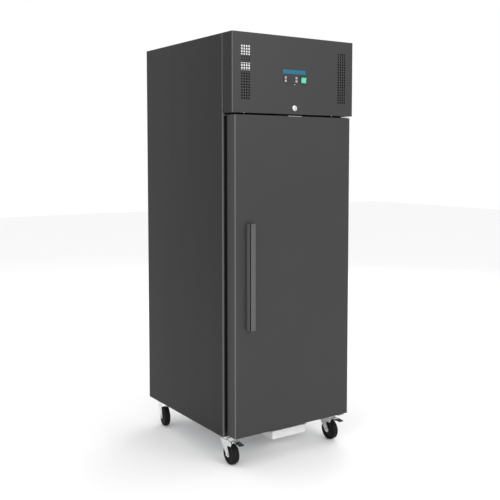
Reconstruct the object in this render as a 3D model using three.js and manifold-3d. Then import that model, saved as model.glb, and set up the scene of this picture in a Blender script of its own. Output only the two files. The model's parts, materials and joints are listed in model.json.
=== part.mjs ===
// A single-door reach-in refrigerator for a restaurant kitchen, on four swivel castors.
// Millimetres, +Z up, the front faces -Y. The origin is on the floor, under the middle of the object.

import * as THREE from 'three';
import { mergeVertices } from 'three/addons/utils/BufferGeometryUtils.js';
import Module from 'manifold-3d';

const wasm = await Module();
wasm.setup();

// Driving dimensions. Inside the cabinet group X runs from the left side, Y back from the
// cabinet's front plane, and Z up from its underside.
const width = 700;
const depth = 752;
const height = 1850;
const castorHeight = 140;
const frontDepth = 82; // the door and the fascia stand this far in front of the cabinet
const handleDepth = 30; // the handle stands this far in front of the door
const glandDepth = 12;
const wall = 60; // insulated wall
const panelSheet = 2;
const roll = { radius: 5, lip: 8 }; // each side panel's front edge is rolled round and returned
const sheet = 1.5;
const gap = 0.3; // between pieces that rest on each other
const deckTop = 1486; // floor of the machine compartment
const fasciaBottom = 1494;
const door = { left: 14, right: 686, bottom: 12, top: 1485, back: -17 };
const hinge = { x: 668, y: -56, pin: 5 };
const vent = { inset: 71.5, columns: 4, pitchX: 13, rows: 20, pitchZ: 12.1, middle: 1673, hole: 8 };
const controller = { x: 322, z: 1653.5, width: 78, height: 32, button: 10 };
const powerSwitch = { x: 396, z: 1654, width: 37, height: 36 };
const lock = { x: 345, z: 1522 };
const fasciaPivot = { y: -40, z: 1842 };
const shelfLevels = [300, 610, 920];
const castorInset = 52;
const castorRows = { front: 48, rear: 694 };
const wheelRadius = 50;
const trail = 38; // the wheel's axle stands this far from the castor's swivel axis

// Finishes
const finish = (color, roughness, metalness) => () =>
  new THREE.MeshStandardMaterial({ color, roughness, metalness });
const darkPaint = finish(0x4c4c4c, 0.45, 0.2);
const stainless = finish(0xb8babc, 0.35, 0.9);
const galvanised = finish(0xa9adb0, 0.5, 0.8);
const zinc = finish(0xc6c8ca, 0.35, 0.9);
const chrome = finish(0xd8dadc, 0.12, 1);
const copper = finish(0xb5734a, 0.35, 0.9);
const aluminium = finish(0xc3c5c6, 0.45, 0.8);
const blackPlastic = finish(0x161616, 0.5, 0);
const greyPlastic = finish(0xb4b6b8, 0.4, 0);
const blackRubber = finish(0x0e0e0e, 0.8, 0);
const whitePlastic = finish(0xe6e6e4, 0.5, 0);
const foamYellow = finish(0xd9cfa4, 0.95, 0);
const blackEnamel = finish(0x1b1b1d, 0.35, 0.3);
const greenLens = finish(0x35c35a, 0.3, 0);

// Solids: a geometry becomes a manifold solid to be cut or joined, and a geometry again after.
function toSolid(geometry) {
  const bare = geometry.clone();
  bare.deleteAttribute('normal');
  bare.deleteAttribute('uv');
  const merged = mergeVertices(bare, 1e-4);
  const index = merged.index.array;
  const corners = [];
  for (let i = 0; i < index.length; i += 3) {
    const [a, b, c] = [index[i], index[i + 1], index[i + 2]];
    if (a !== b && b !== c && c !== a) corners.push(a, b, c);
  }
  const vertProperties = new Float32Array(merged.attributes.position.array);
  const triVerts = new Uint32Array(corners);
  return new wasm.Manifold(new wasm.Mesh({ numProp: 3, vertProperties, triVerts }));
}

function toGeometry(solid) {
  const mesh = solid.getMesh();
  const geometry = new THREE.BufferGeometry();
  geometry.setAttribute('position', new THREE.BufferAttribute(mesh.vertProperties, 3));
  geometry.setIndex(new THREE.BufferAttribute(mesh.triVerts, 1));
  geometry.computeVertexNormals();
  return geometry;
}

const join = (...pieces) => toGeometry(pieces.map(toSolid).reduce((a, b) => a.add(b)));
const cut = (body, ...tools) =>
  toGeometry(tools.map(toSolid).reduce((rest, tool) => rest.subtract(tool), toSolid(body)));

// Shapes
function block(x0, x1, y0, y1, z0, z1) {
  const geometry = new THREE.BoxGeometry(x1 - x0, y1 - y0, z1 - z0);
  return geometry.translate((x0 + x1) / 2, (y0 + y1) / 2, (z0 + z1) / 2);
}

const [unitX, unitY, unitZ] = [[1, 0, 0], [0, 1, 0], [0, 0, 1]].map((v) => new THREE.Vector3(...v));
const toX = new THREE.Matrix4().makeBasis(unitZ, unitX, unitY); // a shape's own Y goes to X
const toY = new THREE.Matrix4();
const toZ = new THREE.Matrix4().makeBasis(unitY, unitZ, unitX); // a shape's own Y goes to Z

// A round bar along one axis, from low to high, centred on the other two coordinates.
function bar(axis, radius, low, high, place, sides = 16) {
  const geometry = new THREE.CylinderGeometry(radius, radius, high - low, sides);
  geometry.translate(0, (low + high) / 2, 0).applyMatrix4(axis);
  return geometry.translate(...place);
}

// A turned body: [radius, distance along the axis] points, from the axis to the axis or closed.
function turned(axis, profile, place = [0, 0, 0], sides = 24) {
  const points = profile.map(([r, along]) => new THREE.Vector2(r, along));
  return new THREE.LatheGeometry(points, sides).applyMatrix4(axis).translate(...place);
}

// A ring with a bore, as a closed turned profile.
const ring = (profile) => [...profile, profile[0]];

// An outline in X and Y, raised from low to high.
function prism(outline, low, high) {
  const settings = { depth: high - low, bevelEnabled: false, curveSegments: 6 };
  return new THREE.ExtrudeGeometry(outline, settings).translate(0, 0, low);
}

// A side profile in Y and Z, given thickness along X.
function sideplate(outline, x0, x1, segments = 6) {
  const settings = { depth: x1 - x0, bevelEnabled: false, curveSegments: segments };
  return new THREE.ExtrudeGeometry(outline, settings).applyMatrix4(toZ).translate(x0, 0, 0);
}

// A round tube through the given points.
function tube(radius, points, steps) {
  const path = new THREE.CatmullRomCurve3(points.map((p) => new THREE.Vector3(...p)), false, 'chordal');
  const section = new THREE.Shape().absarc(0, 0, radius, 0, 2 * Math.PI);
  const settings = { steps, extrudePath: path, curveSegments: 4 };
  return new THREE.ExtrudeGeometry(section, settings);
}

function frontRounded(x0, x1, front, back, radius) {
  const outline = new THREE.Shape();
  outline.moveTo(x0, back);
  outline.lineTo(x0, front + radius);
  outline.absarc(x0 + radius, front + radius, radius, Math.PI, 1.5 * Math.PI);
  outline.absarc(x1 - radius, front + radius, radius, 1.5 * Math.PI, 2 * Math.PI);
  outline.lineTo(x1, back);
  return outline;
}

// A tray folded from sheet, open at its back, with round front edges.
function pan(x0, x1, front, back, z0, z1, radius) {
  const outer = prism(frontRounded(x0, x1, front, back, radius), z0, z1);
  const inside = frontRounded(x0 + sheet, x1 - sheet, front + sheet, back + 1, radius - sheet);
  return cut(outer, prism(inside, z0 + sheet, z1 - sheet));
}

const refrigerator = new THREE.Group();
const cabinet = new THREE.Group();
cabinet.position.set(-width / 2, (frontDepth + handleDepth - depth - glandDepth) / 2, castorHeight);
refrigerator.add(cabinet);

function add(name, geometry, material, parent = cabinet) {
  const mesh = new THREE.Mesh(geometry, material());
  mesh.name = name;
  parent.add(mesh);
  return mesh;
}

const inner = { left: wall, right: width - wall, bottom: wall, top: 1430, back: depth - 62 };
const shell = { left: panelSheet + gap, right: width - panelSheet - gap, back: depth - panelSheet - gap };

addCabinet();
addFascia();
addDoor();
addShelves();
addMachine();
addEvaporator();
addCastors();
addTray();

// The room that the side panels' rolled edges take at the cabinet's two front corners.
function rolledCorners() {
  const [round, flat] = [roll.radius + gap, roll.lip + gap];
  return [[-1, round, round], [width - round, width + 1, round],
    [-1, flat, panelSheet + gap], [width - flat, width + 1, panelSheet + gap],
  ].map(([x0, x1, y1]) => block(x0, x1, -1, y1, -1, height + 1));
}

// The fixed box: outer sheets, poured insulation, liner and the frame round the door opening.
function addCabinet() {
  const wrap = prism(frontRounded(0, width, 0, depth, roll.radius), 0, height);
  const hollow = prism(
    frontRounded(panelSheet, width - panelSheet, panelSheet, depth + 1, roll.radius - panelSheet),
    -1, height - sheet);
  for (const [side, lip, flange] of [
    ['left', [roll.lip, width + 1], [16, width + 1]],
    ['right', [-1, width - roll.lip], [-1, width - 16]],
  ]) {
    const below = block(...lip, -1, depth + 1, -1, height - sheet);
    const above = block(...flange, -1, depth + 1, height - sheet - 1, height + 1);
    add(`${side}_side_panel`, cut(wrap, hollow, below, above), darkPaint);
  }
  const middle = width / 2;
  add('back_panel', block(shell.left, shell.right, depth - panelSheet, depth, 0, deckTop), galvanised);
  const deck = block(shell.left, shell.right, 0, shell.back, deckTop - 2, deckTop);
  add('machine_deck', cut(deck, ...rolledCorners()), galvanised);
  const drainHole = bar(toZ, 12, -1, 4, [middle, 719, 0]);
  const base = block(shell.left, shell.right, 0, shell.back, 0, 2);
  add('base_panel', cut(base, drainHole, ...rolledCorners()), galvanised);

  const foamTop = deckTop - 2 - gap;
  const foam = block(shell.left, shell.right, roll.radius + gap, shell.back, 2 + gap, foamTop);
  const store = block(inner.left, inner.right, -1, inner.back, inner.bottom, inner.top);
  const drainChannel = block(middle - 12, middle + 12, 707, 731, 0, 1264);
  const drainInlet = block(middle - 12, middle + 12, inner.back - 2, 731, 1234, 1264);
  add('wall_insulation', cut(foam, store, drainChannel, drainInlet), foamYellow);

  const linerOut = block(inner.left + gap, inner.right - gap, 2 + gap, inner.back - gap,
    inner.bottom + gap, inner.top - gap);
  const skin = gap + sheet;
  const linerIn = block(inner.left + skin, inner.right - skin, -1, inner.back - skin,
    inner.bottom + skin, inner.top - skin);
  const linerDrain = bar(toY, 10, inner.back - 5, inner.back + 1, [middle, 0, 1249.5]);
  add('inner_liner', cut(linerOut, linerIn, linerDrain), stainless);

  const frameFace = block(shell.left, shell.right, 0, 2, 2 + gap, foamTop);
  add('door_frame', cut(frameFace, linerIn, ...rolledCorners()), darkPaint);

  const slots = [];
  for (const x of [140, 380]) {
    for (let z = 1560; z < 1760; z += 34) slots.push(block(x, x + 180, depth - 3, depth + 1, z, z + 8));
  }
  const glandHole = bar(toY, 11, depth - 3, depth + 1, [600, 0, 1524]);
  const guard = block(shell.left, shell.right, depth - panelSheet, depth, deckTop + gap, 1790);
  add('rear_guard', cut(guard, glandHole, ...slots), galvanised);

  const web = block(shell.left, shell.right, 560, 562, 1811, height - 2);
  const lip = block(shell.left, shell.right, 560, 590, 1811, 1813);
  add('cross_rail', join(web, lip), galvanised);

  const gland = [[4.5, gap], [14, gap], [14, 5], [10, 5], [10, glandDepth], [4.5, glandDepth]];
  add('cable_gland', turned(toY, ring(gland), [600, depth, 1524], 16), blackPlastic);
}

// The hinged front cover of the machine compartment, with its vents, controls and lock.
function addFascia() {
  const ears = [12, width - 12].map((x) => block(x - 1, x + 1, -52, -28, 1830, height - 1));
  const shellPan = pan(0, width, -frontDepth, -2, fasciaBottom, height, 4);
  const back = -frontDepth + 5;
  const cutters = [];
  for (const centre of [vent.inset, width - vent.inset]) {
    for (let column = 0; column < vent.columns; column += 1) {
      for (let row = 0; row < vent.rows; row += 1) {
        const x = centre + vent.pitchX * (column - (vent.columns - 1) / 2);
        const z = vent.middle + vent.pitchZ * (row - (vent.rows - 1) / 2);
        const half = vent.hole / 2;
        cutters.push(block(x - half, x + half, -frontDepth - 1, back, z - half, z + half));
      }
    }
  }
  const window = (part, lip) => block(part.x - part.width / 2 + lip, part.x + part.width / 2 - lip,
    -frontDepth - 1, back, part.z - part.height / 2 + lip, part.z + part.height / 2 - lip);
  cutters.push(window(controller, 3.2), window(powerSwitch, 2.2));
  cutters.push(bar(toY, 9.8, -frontDepth - 1, back, [lock.x, 0, lock.z]));
  cutters.push(block(lock.x - 7, lock.x + 39, -56, -41, fasciaBottom - 1, fasciaBottom + 3));
  for (const x of [20, width - 20]) cutters.push(block(x - 6, x + 6, -47, 0, height - 3, height + 1));
  for (const x of [12, width - 12]) {
    cutters.push(bar(toX, 3.6, -3, 3, [x, fasciaPivot.y, fasciaPivot.z]));
  }
  add('front_fascia', cut(join(shellPan, ...ears), ...cutters), darkPaint);

  const rail = join(
    block(shell.left, shell.right, 2 + gap, 4, 1812, 1846),
    block(shell.left, shell.right, 2 + gap, 24, 1844, 1846),
    ...[[18, 22, 6, 20], [width - 22, width - 18, width - 20, width - 6]].flatMap(([x0, x1, p0, p1]) => [
      block(x0, x1, -48, 3, 1834, 1845.5),
      bar(toX, 3, p0, p1, [0, fasciaPivot.y, fasciaPivot.z]),
    ]),
  );
  add('fascia_hinge_rail', cut(rail, ...rolledCorners()), galvanised);

  const face = -frontDepth - gap;
  const halfW = controller.width / 2;
  const halfH = controller.height / 2;
  const bezel = block(controller.x - halfW, controller.x + halfW, face - 3, face,
    controller.z - halfH, controller.z + halfH);
  const body = block(controller.x - halfW + 3.5, controller.x + halfW - 3.5, face - 1, -45,
    controller.z - halfH + 3.5, controller.z + halfH - 3.5);
  const buttons = [];
  for (const [side, dx] of [['left', -31], ['right', 31]]) {
    for (const [level, dz] of [['upper', 7.5], ['lower', -7.5]]) {
      buttons.push([`controller_button_${side}_${level}`, controller.x + dx, controller.z + dz]);
    }
  }
  const half = controller.button / 2;
  const room = half + 0.4;
  const pockets = buttons.map(([, x, z]) =>
    block(x - room, x + room, face - 4, face + 1, z - room, z + room));
  add('digital_controller', cut(join(bezel, body), ...pockets), blackPlastic);
  for (const [name, x, z] of buttons) {
    add(name, block(x - half, x + half, face - 4, face - 0.8, z - half, z + half), greyPlastic);
  }

  const { x, z } = powerSwitch;
  const rim = block(x - 18.5, x + 18.5, face - 3, face, z - 18, z + 18);
  const box = block(x - 16, x + 16, face - 1, -54, z - 15.5, z + 15.5);
  const well = block(x - 15, x + 15, face - 4, -66, z - 14.8, z + 14.8);
  add('switch_bezel', cut(join(rim, box), well), blackPlastic);
  const profile = new THREE.Shape();
  profile.moveTo(-9, -13.2);
  profile.lineTo(7, -9);
  profile.lineTo(7, 9);
  profile.lineTo(-9, 13.2);
  profile.lineTo(-7.4, 0);
  const rocker = add('power_rocker', sideplate(profile, -14.4, 14.4), greenLens);
  rocker.position.set(x, -78, z);
  rocker.rotation.x = THREE.MathUtils.degToRad(7);

  const barrel = [[6.4, -3], [13, -3], [13, 0], [9.4, 0], [9.4, 31], [6.4, 31]];
  add('lock_barrel', turned(toY, ring(barrel), [lock.x, face, lock.z], 20), chrome);
  const plug = bar(toY, 6, face - 2, -48, [lock.x, 0, lock.z], 16);
  const cam = block(lock.x - 5, lock.x + 46, -50, -47, lock.z - 4.5, lock.z + 4.5);
  add('lock_cam', join(plug, cam), chrome);
}

// The door: outer pan, foam core, inner skin, gasket and handle, on a pin at each end.
function addDoor() {
  const { left, right, bottom, top, back } = door;
  const pinHole = (z0, z1) => bar(toZ, hinge.pin + 0.6, z0, z1, [hinge.x, hinge.y, 0]);
  const holes = [pinHole(bottom - 1, bottom + 22), pinHole(top - 22, top + 1)];
  const camSlot = block(lock.x - 7, lock.x + 36, -56, -41, top - 12, top + 1);
  add('door_outer_pan', cut(pan(left, right, -frontDepth, back, bottom, top, 6), ...holes, camSlot), darkPaint);

  const room = sheet + gap;
  const core = prism(frontRounded(left + room, right - room, -frontDepth + room, back - room, 4.2),
    bottom + room, top - room);
  add('door_insulation', cut(core, ...holes, camSlot), foamYellow);
  add('door_inner_skin', block(left + room, right - room, back - sheet, back, bottom + room, top - room), stainless);

  const seal = block(left + 18, right - 18, back + gap, -gap, bottom + 18, top - 18);
  const opening = block(left + 38, right - 38, back - 1, 1, bottom + 38, top - 38);
  add('door_gasket', cut(seal, opening), blackRubber);

  const grip = { x0: 77, lip: 81, x1: 108, z0: 508, z1: 996, side: 23 }; // a slot runs beside the lip
  const flat = -frontDepth - gap;
  const front = -frontDepth - handleDepth;
  const outline = new THREE.Shape();
  outline.moveTo(grip.x0, flat);
  outline.lineTo(grip.x0, flat - grip.side);
  outline.lineTo(grip.x0 + 2.5, flat - grip.side);
  outline.lineTo(grip.x0 + 2.5, flat - 2.5);
  outline.lineTo(grip.x1 - 3, flat - 2.5);
  outline.lineTo(grip.x1 - 3, front + 3);
  outline.absarc(grip.lip + 1.5, front + 1.5, 1.5, Math.PI / 2, 1.5 * Math.PI);
  outline.lineTo(grip.x1 - 4, front);
  outline.absarc(grip.x1 - 4, front + 4, 4, 1.5 * Math.PI, 2 * Math.PI);
  outline.lineTo(grip.x1, flat);
  add('door_handle', prism(outline, grip.z0, grip.z1), darkPaint);

  // Each hinge bracket is a folded plate on the cabinet's front with a pin into the door's end.
  for (const [name, z0, z1, leaf0, leaf1, pin0, pin1] of [
    ['upper_hinge_bracket', 1487, 1490, 1469, 1490, 1467, 1488],
    ['lower_hinge_bracket', 0, 4, 0, 28, 3, 30],
  ]) {
    const plate = block(640, 694, -70, -gap, z0, z1);
    const leaf = block(640, 694, -3 - gap, -gap, leaf0, leaf1);
    const pin = bar(toZ, hinge.pin, pin0, pin1, [hinge.x, hinge.y, 0]);
    add(name, join(plate, leaf, pin), zinc);
  }
}

// Three wire shelves on ledges that stand out of two racking panels.
function addShelves() {
  const edge = { left: inner.left + 2.1, right: inner.right - 2.1 };
  for (const [side, x0, x1, reach] of [
    ['left', edge.left, edge.left + 2, 30],
    ['right', edge.right - 2, edge.right, -30],
  ]) {
    const ledges = shelfLevels.map((z) =>
      block(Math.min(x0, x0 + reach), Math.max(x1, x1 + reach), 60, 660, z - 2.3, z - 0.3));
    add(`${side}_racking`, join(block(x0, x1, 60, 660, 120, 1200), ...ledges), stainless);
  }
  const [x0, x1, y0, y1] = [edge.left + 6, edge.right - 6, 64, 650];
  const rod = 6;
  const wire = 4;
  shelfLevels.forEach((z, level) => {
    const rods = [];
    for (const y of [y0, (y0 + y1) / 2, y1 - rod]) rods.push(block(x0, x1, y, y + rod, z, z + rod));
    for (const x of [x0, x1 - rod]) rods.push(block(x, x + rod, y0, y1, z, z + rod));
    const count = 14;
    for (let i = 1; i < count; i += 1) {
      const x = x0 + rod / 2 + (i * (x1 - x0 - rod)) / count - wire / 2;
      rods.push(block(x, x + wire, y0 + 1, y1 - 1, z + rod - 1, z + rod + wire - 1));
    }
    add(`wire_shelf_${['lower', 'middle', 'upper'][level]}`, join(...rods), stainless);
  });
}

// A fan wheel on the Y axis: hub with a bore, and pitched blades.
function fanWheel(hub, radius, bore, blades, pitch) {
  const half = 10;
  const parts = [turned(toY, ring([[bore, -half], [hub, -half], [hub, half], [bore, half]]), [0, 0, 0], 16)];
  for (let i = 0; i < blades; i += 1) {
    const blade = block(hub - 3, radius, -0.8, 0.8, -hub * 0.75, hub * 0.75);
    blade.rotateX(pitch).rotateY((2 * Math.PI * i) / blades);
    parts.push(blade);
  }
  return join(...parts);
}

// The condensing unit on the deck: compressor, condenser, fan and pipework.
function addMachine() {
  const floor = deckTop + gap;
  const feet = [[-78, -78], [78, -78], [-78, 78], [78, 78]].map(([x, y]) =>
    bar(toZ, 12, 0, 12, [x, y, 0], 10));
  const plate = block(-95, 95, -95, 95, 10, 13);
  const dome = turned(toZ, [[0, 12], [80, 12], [84, 30], [84, 96], [90, 98], [90, 104], [84, 106],
    [82, 150], [66, 182], [36, 198], [0, 202]], [0, 0, 0], 20);
  const compressor = add('compressor', join(...feet, plate, dome), blackEnamel);
  compressor.position.set(250, 400, floor);

  const coil = { x0: 400, x1: 670, y0: 60, y1: 110, z0: floor, z1: 1782 };
  const core = block(coil.x0, coil.x1, coil.y0, coil.y1, coil.z0, coil.z1);
  const fins = [];
  for (let i = 0; i < 16; i += 1) {
    const x = coil.x0 + 18 + i * 15.5;
    fins.push(block(x, x + 8, coil.y0 - 1, coil.y1 + 1, coil.z0 + 12, coil.z1 - 12));
  }
  add('condenser_coil', cut(core, ...fins), aluminium);

  const [cx, cz] = [(coil.x0 + coil.x1) / 2, (coil.z0 + coil.z1) / 2];
  const cowlBack = 150;
  const outer = block(coil.x0, coil.x1, coil.y1 + gap, cowlBack, coil.z0, coil.z1);
  const hollow = block(coil.x0 + sheet, coil.x1 - sheet, coil.y1 - 1, cowlBack - sheet,
    coil.z0 + sheet, coil.z1 - sheet);
  const cowl = cut(outer, hollow, bar(toY, 106, cowlBack - 4, cowlBack + 1, [cx, 0, cz], 28));
  const motor = bar(toY, 38, 172, 232, [cx, 0, cz], 20);
  const shaft = bar(toY, 4.5, 140, 175, [cx, 0, cz], 12);
  const arms = [block(cx - 115, cx + 115, 174, 178, cz - 7, cz + 7)];
  for (const x of [cx - 115, cx + 108]) arms.push(block(x, x + 7, cowlBack - 1, 178, cz - 7, cz + 7));
  add('condenser_fan_cowl', join(cowl, motor, shaft, ...arms), blackEnamel);
  const blade = add('condenser_fan_blade', fanWheel(30, 98, 5.2, 5, 0.5), aluminium);
  blade.position.set(cx, 152, cz);

  const pipe = tube(4, [[250, 308, 1540], [250, 284, 1540], [262, 244, 1536], [318, 186, 1530],
    [374, 120, 1530], [388, 85, 1530], [coil.x0 - gap, 85, 1530]], 26);
  add('discharge_pipe', pipe, copper);
}

// The evaporator under the store's ceiling, and its drain through the back wall.
function addEvaporator() {
  const [middle, fanZ] = [width / 2, 1352];
  const ceiling = inner.top - gap - sheet - gap;
  const outer = block(90, 610, 330, 687, 1270, ceiling);
  const hollow = block(90 + sheet, 610 - sheet, 330 + sheet, 700, 1270 + sheet, 1500);
  const mouth = bar(toY, 72, 328, 340, [middle, 0, fanZ], 24);
  const drip = bar(toZ, 9, 1268, 1274, [middle, 664, 0]);
  const motor = bar(toY, 24, 372, 410, [middle, 0, fanZ], 16);
  const shaft = bar(toY, 4, 350, 374, [middle, 0, fanZ], 12);
  const strut = block(middle - 8, middle + 8, 380, 400, 1270, fanZ);
  add('evaporator_cover', join(cut(outer, hollow, mouth, drip), motor, shaft, strut), whitePlastic);
  const blade = add('evaporator_fan_blade', fanWheel(20, 66, 4.6, 5, 0.5), blackPlastic);
  blade.position.set(middle, 356, fanZ);

  const combs = [];
  for (let x = 136; x < 560; x += 30) combs.push(block(x, x + 14, 470, 650, 1280, ceiling - 12));
  add('evaporator_coil', cut(block(120, 580, 480, 640, 1290, ceiling - gap), ...combs), aluminium);

  const drainY = 719;
  const runs = [
    bar(toZ, 7, 1250, 1268, [middle, 664, 0], 10),
    bar(toY, 7, 664, drainY, [middle, 0, 1250], 10),
    bar(toZ, 7, -28, 1250, [middle, drainY, 0], 10),
    bar(toY, 7, 300, drainY, [middle, 0, -28], 10),
  ];
  const elbows = [[664, 1250], [drainY, 1250], [drainY, -28]].map(([y, z]) =>
    new THREE.SphereGeometry(7, 10, 8).translate(middle, y, z));
  const drain = join(...runs, ...elbows);
  add('drain_pipe', drain, whitePlastic);
}

// One swivel castor: plate with its ball race, fork with its axle, wheel, and a brake pedal in front.
function addCastor(name, x, y, turn, braked) {
  const place = new THREE.Group();
  place.position.set(x, y, -gap);
  cabinet.add(place);
  const axleZ = wheelRadius - castorHeight + gap;

  const race = turned(toZ, [[0, -13.5], [19, -13.5], [28, -9], [28, -2], [0, -2]], [0, 0, 0], 16);
  add(`${name}_castor_plate`, join(block(-44, 44, -50, 50, -3, 0), race), zinc, place);

  const swivel = new THREE.Group();
  swivel.rotation.z = THREE.MathUtils.degToRad(turn);
  place.add(swivel);
  const side = new THREE.Shape();
  side.moveTo(26, -14.5);
  side.lineTo(-26, -14.5);
  if (braked) {
    side.lineTo(-58, -22);
    side.lineTo(-58, -38);
  }
  side.lineTo(-trail - 13, axleZ + 8);
  side.absarc(-trail, axleZ, 13, Math.PI, 2 * Math.PI);
  side.lineTo(26, -32);
  const legs = [sideplate(side, -21.5, -18.5), sideplate(side, 18.5, 21.5)];
  const crown = bar(toZ, 32, -16.8, -13.8, [0, 0, 0], 16);
  const axle = bar(toX, 5, -27, 27, [0, -trail, axleZ], 12);
  const heads = [-27, 21.4].map((low) => bar(toX, 8, low, low + 5.6, [0, -trail, axleZ], 6));
  const pivot = [0, -51, -30];
  const fork = join(crown, ...legs, axle, ...heads);
  const drilled = braked ? cut(fork, bar(toX, 3.6, -24, 24, pivot, 12)) : fork;
  add(`${name}_castor_fork`, drilled, zinc, swivel);

  // The tread's flats touch the wheel's true radius, and one of them lies on the floor.
  const flats = 20;
  const rim = wheelRadius / Math.cos(Math.PI / flats);
  const tyre = [[5.5, -17], [15, -17], [36, -13.5], [43, -16.8], [rim, -11],
    [rim, 11], [43, 16.8], [36, 13.5], [15, 17], [5.5, 17]];
  const tread = turned(toX, ring(tyre), [0, 0, 0], flats).rotateX(Math.PI / flats);
  const wheel = add(`${name}_castor_wheel`, tread, blackRubber, swivel);
  wheel.position.set(0, -trail, axleZ);

  if (braked) {
    const lever = new THREE.Shape();
    lever.moveTo(-44, -27);
    lever.lineTo(-84, -20);
    lever.lineTo(-124, -23);
    lever.lineTo(-126, -27);
    lever.lineTo(-84, -25.5);
    lever.lineTo(-46, -33);
    const pin = bar(toX, 3, -23, 23, pivot, 10);
    add(`${name}_brake_pedal`, join(sideplate(lever, -13, 13), pin), blackPlastic, swivel);
  }
}

function addCastors() {
  addCastor('front_left', castorInset, castorRows.front, 0, true);
  addCastor('front_right', width - castorInset, castorRows.front, 0, true);
  addCastor('rear_left', castorInset, castorRows.rear, -12, false);
  addCastor('rear_right', width - castorInset, castorRows.rear, 0, false);
}

// The meltwater tray, which slides on two hanging rails under the base.
function addTray() {
  const tray = { x0: 300, x1: 502, y0: 26, y1: 326, bottom: -80, rim: -40 };
  const { x0, x1, y0, y1, bottom, rim } = tray;
  const body = block(x0, x1, y0, y1, bottom, rim);
  const edges = [block(x0 - 9, x0 + 1, y0, y1, rim - 2, rim), block(x1 - 1, x1 + 9, y0, y1, rim - 2, rim)];
  const hollow = block(x0 + 2, x1 - 2, y0 + 2, y1 - 2, bottom + 2, rim + 1);
  add('drip_tray', cut(join(body, ...edges), hollow), whitePlastic);
  for (const [side, outer, ledge] of [['left', x0 - 11, [x0 - 11, x0 - 2]], ['right', x1 + 9.5, [x1 + 2, x1 + 11]]]) {
    const web = block(outer, outer + 1.5, 40, 340, rim - 4.3, -gap);
    const foot = block(...ledge, 40, 340, rim - 4.3, rim - 2.3);
    const head = block(...ledge, 40, 340, -2, -gap);
    add(`tray_rail_${side}`, join(web, foot, head), zinc);
  }
}

export default refrigerator;
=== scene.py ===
import json
import math

import bmesh
import bpy
from mathutils import Matrix, Vector


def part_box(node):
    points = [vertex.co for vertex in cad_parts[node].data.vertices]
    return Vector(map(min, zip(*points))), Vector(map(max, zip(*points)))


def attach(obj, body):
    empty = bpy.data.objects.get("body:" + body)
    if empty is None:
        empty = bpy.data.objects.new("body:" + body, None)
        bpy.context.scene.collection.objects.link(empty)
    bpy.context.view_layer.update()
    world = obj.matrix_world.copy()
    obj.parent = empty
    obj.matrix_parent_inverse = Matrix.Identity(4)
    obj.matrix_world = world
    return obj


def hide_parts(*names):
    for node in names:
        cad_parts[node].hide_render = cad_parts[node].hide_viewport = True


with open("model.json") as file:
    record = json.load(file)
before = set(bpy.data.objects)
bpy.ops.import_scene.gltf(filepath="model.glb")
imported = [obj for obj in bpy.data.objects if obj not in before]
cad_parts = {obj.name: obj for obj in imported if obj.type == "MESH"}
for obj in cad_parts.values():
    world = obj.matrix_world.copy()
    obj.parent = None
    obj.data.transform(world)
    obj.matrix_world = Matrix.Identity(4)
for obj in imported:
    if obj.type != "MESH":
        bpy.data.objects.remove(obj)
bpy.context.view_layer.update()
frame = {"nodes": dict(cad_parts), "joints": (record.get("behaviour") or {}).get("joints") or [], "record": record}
mm = 0.001
# shapes are drawn in millimetres: x from the cabinet's left side, y back from its front and
# z up from its underside
cabinet = Matrix.Translation(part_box("left_side_panel")[0]) @ Matrix.Scale(mm, 4)
print("frame loaded")


# camera, daylight studio and floor
cameraSettings = {
    "place": (-2.2162, -3.3222, 1.4404),
    "turn": 33.94,  # degrees from straight ahead towards the right
    "tilt": 3.96,  # degrees down
    "lens": 56.12,
    "shiftY": -0.08,
}
studioSettings = {
    "floorSize": 30.0,
    "floorColour": (0.93, 0.93, 0.93, 1),
    "skyColour": (1.0, 1.0, 1.0, 1),
    "skyStrength": 1.0,
    # name: (place, size, power, aimed at)
    "lights": {
        "keyLight": ((1.2, -4.9, 3.2), 2.2, 85, (0, 0, 1.2)),
        "edgeLight": ((-2.9, -4.3, 2.5), 1.2, 22, (-0.2, -0.3, 1.1)),
        "sideLight": ((-3.8, -2.4, 2.2), 2.0, 22, (-0.2, -0.2, 1.1)),
        "rimLight": ((3.6, 3.2, 3.6), 2.4, 60, (0, 0, 1.2)),
        "baseLight": ((-0.3, -2.6, 0.2), 0.8, 10, (0, -0.2, -0.1)),
    },
}


def makeStudio():
    bpy.context.scene.view_settings.view_transform = "Standard"
    data = bpy.data.cameras.new("camera")
    data.sensor_width = 36
    data.lens = cameraSettings["lens"]
    data.shift_y = cameraSettings["shiftY"]
    data.clip_end = 100
    camera = bpy.data.objects.new("camera", data)
    camera.location = cameraSettings["place"]
    camera.rotation_euler = (math.radians(90 - cameraSettings["tilt"]), 0,
                             -math.radians(cameraSettings["turn"]))
    bpy.context.scene.collection.objects.link(camera)
    bpy.context.scene.camera = camera

    world = bpy.data.worlds.new("studio")
    world.use_nodes = True
    sky = world.node_tree.nodes["Background"]
    sky.inputs["Color"].default_value = studioSettings["skyColour"]
    sky.inputs["Strength"].default_value = studioSettings["skyStrength"]
    bpy.context.scene.world = world

    for name, (place, size, power, target) in studioSettings["lights"].items():
        lamp = bpy.data.lights.new(name, "AREA")
        lamp.size = size
        lamp.energy = power
        light = bpy.data.objects.new(name, lamp)
        light.location = place
        light.rotation_euler = (Vector(target) - Vector(place)).to_track_quat("-Z", "Y").to_euler()
        bpy.context.scene.collection.objects.link(light)

    bm = bmesh.new()
    half = studioSettings["floorSize"] / 2
    bmesh.ops.create_grid(bm, x_segments=1, y_segments=1, size=half)
    mesh = bpy.data.meshes.new("floor")
    bm.to_mesh(mesh)
    bm.free()
    floor = bpy.data.objects.new("floor", mesh)
    bpy.context.scene.collection.objects.link(floor)
    pale = bpy.data.materials.new("floorPale")
    pale.use_nodes = True
    shader = pale.node_tree.nodes["Principled BSDF"]
    shader.inputs["Base Color"].default_value = studioSettings["floorColour"]
    shader.inputs["Roughness"].default_value = 0.9
    mesh.materials.append(pale)


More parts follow.
